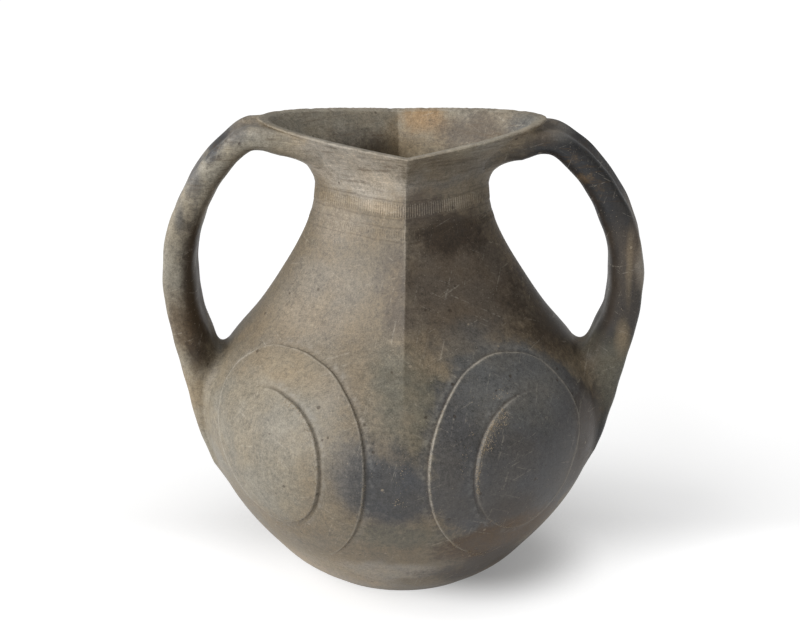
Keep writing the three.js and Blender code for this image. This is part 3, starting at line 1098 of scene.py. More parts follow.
@dataclass(frozen=True)
class ClayFinish:
    """A burnished clay finish: clouds of colour, wipe marks, grain, pits, worn edges, painted groove shade
    and painted highlights.

    A lift above 1 pales the whole finish, as on clay rubbed proud of its surroundings. The high zone is
    where the wipe marks of the neck fade in, in metres. Each scratch is a lean in radians and a seed.
    """

    name: str
    ground: Clay = Clay.WARM_GREY
    inside: Clay = Clay.PUTTY
    edge: Clay = Clay.CHALK
    # Colour of the painted shade in grooves, in scored lines and beside the steps
    groove_shade: Clay = Clay.UMBER
    stains: tuple[Stain, ...] = WALL_STAINS
    inner_stains: tuple[Stain, ...] = MOUTH_STAINS
    own_ground: Clay | None = None
    own_stains: tuple[Stain, ...] = ()
    polish: float = 0.5
    shine: float = 0.35
    mottle: float = 0.27
    grain: float = 0.4
    lift: float = 1.0
    bump_depth: float = 0.0006
    high_zone: tuple[float, float] = (0.24, 0.3)
    scratches: tuple[tuple[float, float], ...] = ((0.35, 2.0), (-0.5, 9.0), (1.3, 5.0))

    def smoked(self, clay: ClaySheet) -> Term:
        """Colours the clay as it came from the kiln.

        Args:
            clay: the material's sheet.

        Returns:
            The colour outside and inside.
        """
        colour = clay.painted(self.ground, self.stains, clay.wander)
        if self.own_ground is not None:
            own = clay.painted(self.own_ground, self.own_stains, clay.wander * 0.7)
            share = clay.step(clay.attribute("root") + clay.cloudy.swing(0.7), 1.0, 0.3)
            colour = clay.blend(share, colour, own)
        inner = clay.painted(self.inside, self.inner_stains, clay.wander)
        return clay.blend(clay.attribute("inside"), colour, inner)

    def burnished(self, clay: ClaySheet, colour: Term) -> Term:
        """Adds the mottling, the grain and the level wipes of the neck.

        Args:
            clay: the material's sheet.
            colour: the colour so far.

        Returns:
            The new colour.
        """
        axes = clay.node("ShaderNodeSeparateXYZ", {}, {0: clay.place})
        high = clay.step(clay.out(axes, "Z"), *self.high_zone)
        wiped = (clay.level - 0.5) * (high + 0.5) + clay.upright.swing(0.6)
        tone = 1 + (clay.broad.swing(0.5) + clay.cloudy.swing(1.3) + wiped) * self.mottle * 2.2
        tone = tone + (clay.fine.swing(3.0) + clay.dust.swing(3.6)) * self.grain
        colour = clay.scaled(colour, tone * self.lift)
        warmth = clay.blend(clay.step(clay.tint, 0.36, 0.64), (1.03, 1.0, 0.955), (0.98, 1.0, 1.03))
        colour = clay.vector("MULTIPLY", colour, warmth)
        pale = clay.step(clay.level, 0.47, 0.36, 0.2, 0.66)
        dark = clay.step(clay.level, 0.52, 0.62, 0.0, 0.26)
        outside = 1 - clay.attribute("inside") * 0.95
        colour = clay.scaled(colour, 1 + (pale - dark) * high * outside)
        return clay.blend(clay.step(clay.level, 0.55, 0.64, 0.0, 0.35) * high, colour, Clay.BROWN.value)

    def used(self, clay: ClaySheet, colour: Term, wear_and_highlight: Term) -> Term:
        """Adds the painted sheen, the painted groove shade, the worn edges with painted highlights and the
        scratches.

        Args:
            clay: the material's sheet.
            colour: the colour so far.
            wear_and_highlight: how worn each place is.

        Returns:
            The new colour.
        """
        # Painted sheen on the rises past the steps, in patches
        sheen_patches = clay.step(clay.cloudy + clay.fine.swing(0.8), 0.4, 0.66, 0.08, 0.75)
        colour = clay.blend(clay.attribute("painted_sheen") * sheen_patches, colour, Clay.BLOOM.value)
        # Painted shade in grooves, in scored lines and beside the steps, broken up by noise
        shaded_groove = clay.attribute("groove_shade") * clay.step(clay.cloudy, 0.3, 0.6, 0.5, 0.95)
        colour = clay.blend(shaded_groove, colour, self.groove_shade.value)
        # Worn edges and painted highlights on crests, in chalk
        colour = clay.blend(wear_and_highlight * 0.8, colour, self.edge.value)
        for lean, seed in self.scratches:
            way = {"Vector": clay.place, "Rotation": (0.0, lean, 0.0)}
            turned = clay.node("ShaderNodeMapping", {}, way)
            drawn = clay.vector("MULTIPLY", clay.out(turned), (1.0, 1.0, 26.0))
            stroke = clay.noise(clay.vector("ADD", drawn, (seed, seed, seed)), 30, 2)
            scratch = clay.step(stroke, 0.67, 0.73, 0.0, 0.3) * clay.step(clay.fine, 0.42, 0.56)
            colour = clay.blend(scratch, colour, self.edge.value)
        return colour

    def build(self, form: JarForm) -> bpy.types.Material:
        """Builds the material.

        Args:
            form: the jar's form, which places the stains.

        Returns:
            The finished material.
        """
        clay = ClaySheet(self.name, form)
        # Wear and painted crest highlights, broken up by noise
        worn = clay.cloudy * 0.5 + clay.fine * 0.5 + clay.dust.swing(0.6)
        wear_and_highlight = clay.attribute("wear_and_highlight") * clay.step(worn, 0.36, 0.6, 0.3, 1.0)
        ragged = clay.fine.swing(0.12)
        pits = clay.dots(0, 62, 0.055, 0.035, ragged)
        chips = clay.dots(1, 48, 0.03, 0.03, ragged)
        specks = clay.step(clay.noise(clay.place, 900), 0.68, 0.74, 0.0, 0.55)
        colour = self.used(clay, self.burnished(clay, self.smoked(clay)), wear_and_highlight)
        colour = clay.blend(specks, colour, Clay.SAND.value)
        colour = clay.blend(pits * 0.6, colour, Clay.UMBER.value)
        colour = clay.blend(chips * 0.6, colour, Clay.SAND.value)

        rough = self.polish + clay.cloudy.swing(0.25) + wear_and_highlight * 0.2 + clay.attribute("groove_shade") * 0.12
        rough = rough + clay.fine.swing(0.2)
        height = clay.fine * 0.35 + clay.upright * 0.35 + clay.level * 0.5 + clay.broad * 1.2
        height = height + clay.dust * 0.16 - pits * 0.7
        relief = {"Strength": 0.5, "Distance": self.bump_depth, "Height": height}
        looks = {
            "Base Color": colour,
            "Roughness": rough,
            "Normal": clay.out(clay.node("ShaderNodeBump", {}, relief)),
            "Specular IOR Level": self.shine,
        }
        return clay.finish(clay.node("ShaderNodeBsdfPrincipled", {}, looks))


@dataclass(frozen=True)
class CrumbFinish:
    """Dry pale grit that clings to the relief's edges."""

    name: str
    clay: Clay = Clay.SAND

    def build(self) -> bpy.types.Material:
        """Builds the material."""
        sheet = Sheet(self.name)
        patch = sheet.step(sheet.noise(sheet.place, 300), 0.35, 0.65)
        looks = {"Base Color": sheet.blend(patch, self.clay.value, Clay.TAN.value), "Roughness": 0.9}
        return sheet.finish(sheet.node("ShaderNodeBsdfPrincipled", {}, looks))


@dataclass
class WallRing:
    """A ring of wall between two joints, solid from its outer face to its inner face."""

    form: JarForm
    node: str
    low: float
    high: float
    outer_step: float = 1.25
    inner_step: float = 5.0
    columns: int = 600
    spirals: tuple[SpiralPlan, ...] = ()
    scores: tuple[tuple[float, float, float], ...] = ()
    rounded_lip: bool = False
    slot: str = "smoked_grey_clay"
    rim_rows: int = 7

    def relief(self, azimuth: Numbers, height: Numbers) -> tuple[Numbers, Numbers, Numbers, Numbers]:
        """Works out what the spirals, the ridges and the scored lines do to the outer face.

        Args:
            azimuth: angles of the points, in radians.
            height: heights of the points.

        Returns:
            How far each point moves out, its painted groove shade, its wear with painted highlights and
            its painted sheen.
        """
        proud, groove_shade, painted_sheen = np.zeros_like(azimuth), np.zeros_like(azimuth), np.zeros_like(azimuth)
        # Pale line down the front and back ridge of the neck: wear and painted highlight
        wear_and_highlight = 0.45 * bump(np.sin(azimuth), 0.0, 0.02) * smooth(205, 255, height)
        for spiral in self.spirals:
            for behind in (0.0, math.pi):
                turn, radius = spiral.find(self.form, azimuth + behind, height)
                rim, rise = spiral.rim(turn)
                share = rise / spiral.step
                gap = radius - rim
                away = smooth(spiral.tail, spiral.tail + spiral.fading, turn)
                proud += share * (0.1 * bump(gap, 4.6, 1.3) - 0.2 * bump(gap, 1.4, 1.4))
                proud -= 1.0 * smooth(0.25, 0.6, spiral.level(turn, radius + 2.2)) * (gap < 0)
                # Painted shade just outside the step
                groove_shade += 0.5 * share * bump(gap, 0.9, 0.9) * (1 - away)
                # Pale crest of the step: wear and painted highlight
                wear_and_highlight += share * (0.35 * bump(gap, 0.0, 0.8) + 0.65 * away * bump(gap, 0.6, 1.7))
                # Painted sheen on the rise past the step's groove
                painted_sheen += share * mix(0.4 * bump(gap, 4.4, 2.6), 0.5 * bump(gap, 3.0, 2.4), away)
        for line, depth, width in self.scores:
            wobble = 0.35 * np.sin(4 * azimuth + line) + 0.25 * np.sin(11 * azimuth + 2 * line)
            cut = bump(height - wobble, line, width)
            proud -= depth * cut
            # Painted shade in the scored line
            groove_shade += 0.4 * cut
        return proud, np.clip(groove_shade, 0, 1), np.clip(wear_and_highlight, 0, 1), np.clip(painted_sheen, 0, 1)

    def build(self, material: bpy.types.Material) -> bpy.types.Object:
        """Builds the ring and dresses it.

        Args:
            material: the finish of the clay.

        Returns:
            The finished object.
        """
        form = self.form
        azimuth = np.linspace(0, 2 * math.pi, self.columns, endpoint=False)[:, None]
        turn, height = np.broadcast_arrays(azimuth, spaced(self.low, self.high, self.outer_step)[None, :])
        proud, groove_shade, wear_and_highlight, painted_sheen = self.relief(turn, height)
        sides = [form.face(turn, height, proud)]
        marks = [(groove_shade, wear_and_highlight, np.zeros_like(groove_shade), painted_sheen)]
        if self.rounded_lip:
            edge, worn, inside = self.rim(azimuth)
            sides.append(edge)
            marks.append((np.zeros_like(worn), worn, inside, np.zeros_like(worn)))
        down = spaced(self.high, self.low, self.inner_step)
        inner = form.point(azimuth, down[None, :], form.thickness(down)[None, :])
        sides.append(inner)
        blank = np.zeros(inner.shape[:2])
        marks.append((blank, blank, blank + 1, blank))
        points = np.concatenate(sides, axis=1)
        faces = ring_faces(self.columns, points.shape[1], True)
        mesh = mesh_from(self.node, points.reshape(-1, 3), faces)
        joined = [np.concatenate(values, axis=1) for values in zip(*marks)]
        marked = dict(zip(("groove_shade", "wear_and_highlight", "inside", "painted_sheen"), joined))
        return dressed(self.node, mesh, marked, material)

    def rim(self, azimuth: Numbers) -> tuple[Numbers, Numbers, Numbers]:
        """Builds the chipped round edge of the lip.

        Args:
            azimuth: the columns' angles, in radians.

        Returns:
            The edge's points, their wear and how far inside each counts.
        """
        form = self.form
        arc = np.linspace(0, math.pi, self.rim_rows + 2)[1:-1]
        inset = form.lip_wall * (0.5 - 0.5 * np.cos(arc))
        crest = form.ridge_top - form.lip_round_drop * (1 - np.sin(arc))
        chips = 0.35 * np.abs(np.sin(7 * azimuth + 1) * np.sin(23 * azimuth) + 0.4 * np.sin(57 * azimuth))
        edge = form.point(azimuth, crest[None, :], inset[None, :])
        edge[..., 2] -= chips * np.sin(arc)[None, :]
        worn = 0.45 * (1 - 0.9 * bump(np.abs(np.sin(azimuth)), 1.0, 0.05))
        inside = np.linspace(0, 1, self.rim_rows)[None, :]
        return edge, *np.broadcast_arrays(worn, inside)


@dataclass
class FootSlab:
    """The flat foot, turned by Geometry Nodes from the foot's radius, height and flare."""

    form: JarForm
    node: str = "base_slab"
    slot: str = "tan_grey_clay"
    columns: int = 600
    rows: int = 7
    worn_height: float = 1.5
    foot_wear: float = 0.7

    def tree(self) -> bpy.types.NodeTree:
        """Builds the tree that stands a cone on the foot.

        Returns:
            The tree.
        """
        growth = Growth("foot slab", dict.fromkeys(("Foot Radius", "Top Radius", "Slab Height"), "Float"))
        sizes = {
            "Vertices": self.columns,
            "Side Segments": self.rows,
            "Fill Segments": 3,
            "Radius Bottom": growth.given("Foot Radius"),
            "Radius Top": growth.given("Top Radius"),
            "Depth": growth.given("Slab Height"),
        }
        return growth.finish(growth.out(growth.node("GeometryNodeMeshCone", {}, sizes), "Mesh"))

    def build(self, material: bpy.types.Material) -> bpy.types.Object:
        """Builds the slab.

        Args:
            material: the finish of the clay.

        Returns:
            The finished object.
        """
        form = self.form
        made = link(f"{self.node}_clay", bpy.data.meshes.new(self.node))
        sizes = {
            "Foot Radius": form.foot_radius * METRES_PER_MM,
            "Top Radius": float(form.half_width(form.base_thickness)) * METRES_PER_MM,
            "Slab Height": form.base_thickness * METRES_PER_MM,
            "Clay": material,
        }
        Growth.run(made, self.tree(), sizes)
        self.follow_outline(made.data)
        hand_over(made, self.node)
        return made

    def follow_outline(self, mesh: bpy.types.Mesh) -> None:
        """Bends the cone's side to the jar's outline and stores its marks.

        Args:
            mesh: the cone's mesh.
        """
        points = np.array([vertex.co for vertex in mesh.vertices]) / METRES_PER_MM
        radius = np.hypot(points[:, 0], points[:, 1])
        slant = mix(
            self.form.foot_radius,
            self.form.half_width(self.form.base_thickness),
            points[:, 2] / self.form.base_thickness,
        )
        on_side = np.abs(radius - slant) < 0.02
        scale = np.where(on_side, self.form.half_width(points[:, 2]) / np.maximum(radius, 1), 1.0)
        points[:, :2] *= scale[:, None]
        mesh.vertices.foreach_set("co", (points * METRES_PER_MM).ravel())
        mesh.update()
        worn = on_side & (points[:, 2] < self.worn_height)
        add_attribute(mesh, "wear_and_highlight", np.where(worn, self.foot_wear, 0.0))
        shade(mesh, SHARP_OVER)


@dataclass
class Volute:
    """A relief spiral luted to the belly."""

    form: JarForm
    spiral: SpiralPlan
    node: str
    slot: str
    behind: bool = False
    columns: int = 260
    eye_rows: int = 44
    band_rows: int = 46
    skirt_rows: int = 4
    back_rows: int = 5
    eye_gather: float = 1.35
    band_gather: float = 0.4
    narrowest_band: float = 12.0
    seam_blend: float = 70.0
    seam_hold: float = 60.0
    skirt: float = 1.6
    root: float = 2.2
    sink: float = 0.45

    def guides(self, turn: Numbers) -> tuple[Numbers, Numbers]:
        """Finds the two lines that the rows gather along.

        Args:
            turn: each column's turn, in degrees.

        Returns:
            The nearer and the farther radius at each turn.
        """
        spiral = self.spiral
        seam = spiral.start + FULL_TURN
        held = spiral.inner(np.minimum(turn, seam - self.seam_hold))
        near = mix(held, spiral.inner(spiral.start), smooth(seam - self.seam_blend, seam, turn))
        far = mix(spiral.outer(turn), spiral.outer(spiral.start), smooth(spiral.tail, seam, turn))
        return near, np.maximum(far, near + self.narrowest_band)

    def radii(self, turn: Numbers) -> Numbers:
        """Places the rows from the eye to the skirt.

        Args:
            turn: each column's turn, in degrees.

        Returns:
            The radius of each row, by column.
        """
        near, far = self.guides(turn)
        share = np.linspace(0, 1, self.eye_rows + 1)[1:]
        eye = near[:, None] * (1 - (1 - share) ** self.eye_gather)[None, :]
        share = np.linspace(0, 1, self.band_rows + 1)[1:]
        share = share - self.band_gather * np.sin(2 * math.pi * share) / (2 * math.pi)
        band = near[:, None] + (far - near)[:, None] * share[None, :]
        skirt = far[:, None] + np.linspace(0, self.skirt, self.skirt_rows + 1)[None, 1:]
        return np.concatenate([eye, band, skirt], axis=1)

    def marks(self, turn: Numbers, radius: Numbers) -> dict[str, Numbers]:
        """Lays painted shade beside the steps, wear and painted highlights on their crests and a painted
        sheen past them.

        Args:
            turn: each point's turn, in degrees.
            radius: its distance from the centre.

        Returns:
            The marks at each point, by name.
        """
        spiral = self.spiral
        first, second = (rise / spiral.step for rise in spiral.rises(turn))
        outside = turn <= spiral.tail
        away = smooth(spiral.tail, spiral.tail + spiral.fading, turn)
        ending = 1 - smooth(spiral.tail - 25, spiral.tail, turn)
        gap, outer_gap = radius - spiral.inner(turn), radius - spiral.outer(turn)
        # Painted shade just outside each step
        groove_shade = 0.5 * first * bump(gap, 1.1, 0.9) * (1 - away)
        groove_shade = groove_shade + 0.5 * second * outside * bump(outer_gap, 0.9, 0.9)
        # Pale crests of the steps: wear and painted highlight
        wear_and_highlight = first * mix(spiral.inner_wear_and_highlight, 1.0, away) * bump(gap, -0.4, mix(0.8, 1.9, away))
        wear_and_highlight = wear_and_highlight + 0.8 * ending * outside * bump(outer_gap, -0.4, 0.9)
        wear_and_highlight = wear_and_highlight + spiral.crust * bump(turn, 150.0, 40.0) * bump(gap, -1.5, 2.4)
        # Painted sheen on the rise past the inner step
        painted_sheen = 0.45 * first * outside * bump(gap, 4.0, 2.6)
        marks = {"groove_shade": groove_shade, "wear_and_highlight": wear_and_highlight, "painted_sheen": painted_sheen}
        return {name: np.clip(mark, 0, 1) for name, mark in marks.items()}

    def build(self, material: bpy.types.Material) -> bpy.types.Object:
        """Builds the spiral.

        Args:
            material: the finish of the clay.

        Returns:
            The finished object.
        """
        form, spiral = self.form, self.spiral
        turns = spiral.start + np.linspace(0, FULL_TURN, self.columns, endpoint=False)[:, None]
        radius = self.radii(turns[:, 0])
        turn = np.broadcast_to(turns, radius.shape)
        level = spiral.level(turn, radius)
        top = level - self.sink * (1 - smooth(0, 0.25, level))
        under = np.linspace(1, 0, self.back_rows + 1)[:-1] * radius[:, -1:]
        face = form.face(*spiral.place(form, turn, radius), top)
        back = form.face(*spiral.place(form, np.broadcast_to(turns, under.shape), under), -self.root)
        middle = spiral.place(form, turns[:1, 0], np.zeros(1))
        ends = form.face(*middle, spiral.step * spiral.eye_rise), form.face(*middle, -self.root)
        points, faces = closed_tube(np.concatenate([face, back], axis=1), ends)
        if self.behind:
            points[:, :2] *= -1
        blank = np.zeros(under.shape)
        marks = {
            name: np.append(np.concatenate([values, blank], axis=1), [0, 0])
            for name, values in self.marks(turn, radius).items()
        }
        return dressed(self.node, mesh_from(self.node, points, faces), marks, material, 75.0)


@dataclass(frozen=True)
class Drift:
    """A stretch of a spiral where grit clings: a span of turns, and of gaps to the edge there."""

    turns: tuple[float, float]
    gaps: tuple[float, float]
    count: int


@dataclass
class Crumbs:
    """Grains of pale grit along a spiral's edge, set on their places by Geometry Nodes."""

    form: JarForm
    spiral: SpiralPlan
    name: str
    drifts: tuple[Drift, ...]
    seed: int
    slot: str = "tan_grey_clay"
    smallest: float = 0.12
    largest: float = 0.42
    crumbs_per_heap: int = 6
    heap_spread: float = 1.6

    def scattered(self) -> tuple[Numbers, Numbers]:
        """Heaps the grains at random along the drifts.

        Returns:
            Each grain's place and its size.
        """
        source = np.random.default_rng(self.seed)
        places, sizes = [], []
        for drift in self.drifts:
            heaps = source.uniform(*drift.turns, drift.count // self.crumbs_per_heap + 2)
            turn = source.choice(heaps, drift.count) + source.normal(0, self.heap_spread, drift.count)
            radius = self.spiral.inner(turn) + mix(*drift.gaps, source.beta(1.2, 2.2, drift.count))
            level = self.spiral.level(self.spiral.once(turn), radius)
            places.append(self.form.face(*self.spiral.place(self.form, turn, radius), level))
            sizes.append(mix(self.smallest, self.largest, source.random(drift.count) ** 2))
        return np.concatenate(places), np.concatenate(sizes)

    @staticmethod
    def tree() -> bpy.types.NodeTree:
        """Builds the tree that sets a small rough grain on each point.

        Returns:
            The tree.
        """
        growth = Growth("grit", {"Grain Radius": "Float", "Seed": "Int"})
        ball = {"Radius": growth.given("Grain Radius"), "Subdivisions": 1}
        grain = growth.out(growth.node("GeometryNodeMeshIcoSphere", {}, ball), "Mesh")
        turn = growth.drawn((0, 0, 0), (math.tau, math.tau, math.tau))
        return growth.planted(growth.given("Geometry"), grain, turn, growth.attribute("size", "FLOAT"))

    def build(self, material: bpy.types.Material) -> bpy.types.Object:
        """Builds the grains.

        Args:
            material: the finish of the grit.

        Returns:
            The finished object.
        """
        places, sizes = self.scattered()
        mesh = bpy.data.meshes.new(self.name)
        mesh.from_pydata((places * METRES_PER_MM).tolist(), [], [])
        add_attribute(mesh, "size", sizes)
        made = link(self.name, mesh)
        values = {"Grain Radius": METRES_PER_MM, "Seed": self.seed, "Clay": material}
        Growth.run(made, self.tree(), values)
        hand_over(made)
        return made


@dataclass
class CombedBand:
    """A row of upright strokes round the neck, set along its path by Geometry Nodes."""

    form: JarForm
    name: str
    height: float
    length: float
    seed: int
    slot: str = "smoked_grey_clay"
    pitch: float = 1.75
    width: float = 0.62
    rise: float = 0.3
    path_points: int = 240

    @staticmethod
    def tree() -> bpy.types.NodeTree:
        """Builds the tree that lines up strokes of uneven length along a closed path.

        Returns:
            The tree.
        """
        growth = Growth("combed band", {"Pitch": "Float", "Stroke": "Vector", "Seed": "Int"})
        path = growth.out(growth.node("GeometryNodeMeshToCurve", {}, {"Mesh": growth.given("Geometry")}))
        spacing = {"Curve": path, "Length": growth.given("Pitch")}
        stations = growth.out(growth.node("GeometryNodeResampleCurve", {"mode": "LENGTH"}, spacing))
        cube = growth.node("GeometryNodeMeshCube", {}, {"Size": growth.given("Stroke")})
        axes = {
            "Primary Axis": growth.attribute("up", "FLOAT_VECTOR"),
            "Secondary Axis": growth.out(growth.node("GeometryNodeInputTangent")),
        }
        settings = {"primary_axis": "Z", "secondary_axis": "X"}
        facing = growth.out(growth.node("FunctionNodeAxesToRotation", settings, axes))
        size = growth.drawn((0.6, 1.0, 0.72), (1.2, 1.0, 1.05))
        return growth.planted(stations, growth.out(cube, "Mesh"), facing, size)

    def build(self, material: bpy.types.Material) -> bpy.types.Object:
        """Builds the strokes.

        Args:
            material: the finish of the clay.

        Returns:
            The finished object.
        """
        azimuth = np.linspace(0, 2 * math.pi, self.path_points, endpoint=False)
        heights = [np.full_like(azimuth, self.height + shift) for shift in (-1.0, 0.0, 1.0)]
        low, middle, high = (self.form.face(azimuth, height) for height in heights)
        up = (high - low) / np.linalg.norm(high - low, axis=-1, keepdims=True)
        mesh = bpy.data.meshes.new(self.name)
        edges = [(index, (index + 1) % self.path_points) for index in range(self.path_points)]
        mesh.from_pydata((middle * METRES_PER_MM).tolist(), edges, [])
        attribute = mesh.attributes.new("up", "FLOAT_VECTOR", "POINT")
        attribute.data.foreach_set("vector", np.ascontiguousarray(up, np.float32).ravel())
        made = link(self.name, mesh)
        stroke = Vector((self.width, self.rise, self.length)) * METRES_PER_MM
        pitch = self.pitch * METRES_PER_MM
        values = {"Pitch": pitch, "Stroke": stroke, "Seed": self.seed, "Clay": material}
        Growth.run(made, self.tree(), values)
        hand_over(made)
        return made


@dataclass(frozen=True)
class StrapLine:
    """The middle line of a strap: out from the lip, over, down and into the belly."""

    stations: tuple[tuple[float, float], ...]
    samples: int = 60

    @cached_property
    def path(self) -> tuple[Numbers, Numbers]:
        """Fine points along the line, and the share of its length at each."""
        knots = np.array(self.stations, float)
        knots = np.concatenate([[2 * knots[0] - knots[1]], knots, [2 * knots[-1] - knots[-2]]])
        points = [knots[1:2]]
        for index in range(1, len(knots) - 2):
            p0, p1, p2, p3 = knots[index - 1 : index + 3]
            spans = [math.dist(a, b) ** 0.5 for a, b in ((p0, p1), (p1, p2), (p2, p3))]
            leave = (p1 - p0) / spans[0] - (p2 - p0) / (spans[0] + spans[1]) + (p2 - p1) / spans[1]
            arrive = (p2 - p1) / spans[1] - (p3 - p1) / (spans[1] + spans[2]) + (p3 - p2) / spans[2]
            leave, arrive = leave * spans[1], arrive * spans[1]
            t = np.linspace(0, 1, self.samples + 1)[1:, None]
            points.append(
                p1 * (2 * t**3 - 3 * t**2 + 1)
                + p2 * (3 * t**2 - 2 * t**3)
                + leave * (t**3 - 2 * t**2 + t)
                + arrive * (t**3 - t**2)
            )
        line = np.concatenate(points)
        lengths = np.concatenate([[0], np.cumsum(np.hypot(*np.diff(line, axis=0).T))])
        return line, lengths / lengths[-1]

    def at(self, share: Numbers) -> Numbers:
        """Returns points a share of the way along the line, as x and z."""
        line, shares = self.path
        return np.stack([np.interp(share, shares, line[:, axis]) for axis in (0, 1)], axis=-1)

    def ahead(self, share: Numbers) -> Numbers:
        """Works out which way the line runs.

        Args:
            share: shares of the line's length.

        Returns:
            The unit direction at each, as x and z.
        """
        step = 0.004
        way = self.at(np.minimum(share + step, 1)) - self.at(np.maximum(share - step, 0))
        return way / np.linalg.norm(way, axis=-1, keepdims=True)


@dataclass
class Strap:
    """A broad strap handle from the mouth's tip to the belly, smeared on to the wall at both ends.

    The outward stations pair a share of the middle line's way out from the mouth with a share of its fall
    from the crown to the foot, and the inward ones a share of the way out from the foot. The buried shares
    give the rings that close each end below the wall's face. In the section, the first number runs from
    the strap's inner face (-1) to its outer face (1), and the second from its middle to its edge.
    """

    form: JarForm
    side: Side
    node: str
    bow: float
    drop: float
    turn: float
    mid_thickness: float
    crotch_flare: float
    worn: float = 0.16
    slot: str = "black_clay"
    top_thickness: float = 17.5
    top_depth: float = 43.0
    mid_depth: float = 50.0
    foot_depth: float = 61.0
    foot_height: float = 73.0
    root_reach: float = 31.0
    root_flare: float = 5.0
    steps: int = 400
    rings: int = 170
    blend_rings: int = 10
    section_points: int = 80
    root_blend: float = 13.0
    foot_blend: float = 13.0
    fade_length: float = 26.0
    feather: float = 0.25
    sunk: float = 1.8
    buried: tuple[float, ...] = (1.0, 0.85, 0.6, 0.3)
    outward: tuple[tuple[float, float], ...] = (
        (0.06, 0.0), (0.31, 0.04), (0.58, 0.11), (0.8, 0.2), (0.94, 0.29), (0.99, 0.38), (0.96, 0.49),
    )
    inward: tuple[tuple[float, float], ...] = (
        (0.82, 0.58), (0.56, 0.74), (0.3, 0.88), (-0.08, 0.985), (-0.6, 1.035),
    )
    section: tuple[tuple[float, float], ...] = (
        (0.82, 0.0), (0.92, 0.38), (1.0, 0.68), (0.84, 0.92), (0.3, 1.0),
        (-0.32, 0.96), (-0.8, 0.76), (-1.0, 0.42), (-1.0, 0.0),
    )

    @cached_property
    def line(self) -> StrapLine:
        """The strap's middle line, carried on into the belly."""
        form = self.form
        mouth = form.mouth_half_width
        outside = mouth + self.bow
        foot = float(form.half_width(self.foot_height)) - self.mid_thickness / 2
        crown = form.ridge_top - self.drop
        fall = crown - self.foot_height
        stations = [(mouth - self.root_reach, crown), (mouth - self.root_reach / 2, crown)]
        for inner, shares in ((mouth, self.outward), (foot, self.inward)):
            stations += [(mix(inner, outside, share), crown - down * fall) for share, down in shares]
        return StrapLine(tuple(stations))

    def outline(self) -> Numbers:
        """Rounds the section off.

        Returns:
            Its points, as shares of the half thickness and the half depth.
        """
        half = list(self.section)
        loop = np.array(half + [(across, -along) for across, along in half[-2:0:-1]])
        count = len(loop)
        places = np.linspace(0, count, self.section_points, endpoint=False)
        index = places.astype(int)
        t = (places - index)[:, None]
        before, here, after, later = (loop[(index + shift) % count] for shift in (-1, 0, 1, 2))
        return 0.5 * (
            2 * here
            + (after - before) * t
            + (2 * before - 5 * here + 4 * after - later) * t**2
            + (3 * here - before - 3 * after + later) * t**3
        )

    def swept(self) -> Numbers:
        """Sweeps the section along the line, before the ends are blended.

        Returns:
            The points, ring by ring.
        """
        share = np.linspace(0, 1, self.steps + 1)
        centre, ahead = self.line.at(share), self.line.ahead(share)
        outward = np.stack([-ahead[:, 1], ahead[:, 0]], axis=-1)
        thick = mix(self.top_thickness, self.mid_thickness, smooth(0.05, 0.4, share)) / 2
        depth = mix(self.top_depth, self.mid_depth, smooth(0.15, 0.6, share))
        depth = mix(depth, self.foot_depth, smooth(0.6, 0.86, share)) / 2
        flare = self.root_flare * (1 - smooth(0.02, 0.08, share))
        flare = flare + self.crotch_flare * smooth(0.55, 0.68, share)
        loop = self.outline()
        across, along = loop[None, :, 0], loop[None, :, 1]
        offset = np.where(across < 0, across * (thick + flare)[:, None], across * thick[:, None])
        side = self.side.value
        dent = 0.5 * np.sin(share * 47 + 1.3 + side) + 0.35 * np.sin(share * 91 + side)
        roll = 0.4 * np.sin(share * 63 + 2)[:, None] * np.sign(along)
        offset = offset * (1 - 0.03 - 0.03 * dent[:, None] - 0.02 * roll)
        place = centre[:, None, :] + outward[:, None, :] * offset[..., None]
        breadth = -along * depth[:, None] * (1 - 0.012 * (1 + dent[:, None]))
        return self.turned(np.stack([place[..., 0], breadth, place[..., 1]], axis=-1))

    def turned(self, points: Numbers) -> Numbers:
        """Turns the strap about the vertical, and the left strap on to its own side.

        Args:
            points: the points of a strap on the right.

        Returns:
            The points in their place.
        """
        pivot = self.form.mouth_half_width + self.bow
        angle = math.radians(self.turn)
        x, y = points[..., 0] - pivot, points[..., 1]
        turned_x = x * math.cos(angle) - y * math.sin(angle) + pivot
        turned_y = x * math.sin(angle) + y * math.cos(angle)
        sign = self.side.value
        return np.stack([sign * turned_x, sign * turned_y, points[..., 2]], axis=-1)

    def landing(self, points: Numbers, gaps: Numbers, way: int) -> tuple[Numbers, Numbers]:
        """Finds where each lengthwise line of the strap meets the wall.

        Args:
            points: the strap's points, ring by ring.
            gaps: how far each lies outside the wall.
            way: -1 towards the mouth, 1 towards the foot.

        Returns:
            For each line, the ring as a number with a fraction, and the point.
        """
        rings = np.arange(self.steps // 2, self.steps + 1 if way > 0 else -1, way)
        sunk = gaps[rings] <= 0
        after = np.where(sunk.any(axis=0), np.argmax(sunk, axis=0), len(rings) - 1)
        columns = np.arange(points.shape[1])
        outer, inner = rings[after - 1], rings[after]
        before, past = gaps[outer, columns], np.minimum(gaps[inner, columns], 0)
        share = before / (before - past)
        corner = mix(points[outer, columns], points[inner, columns], share[:, None])
        return outer + way * share, corner

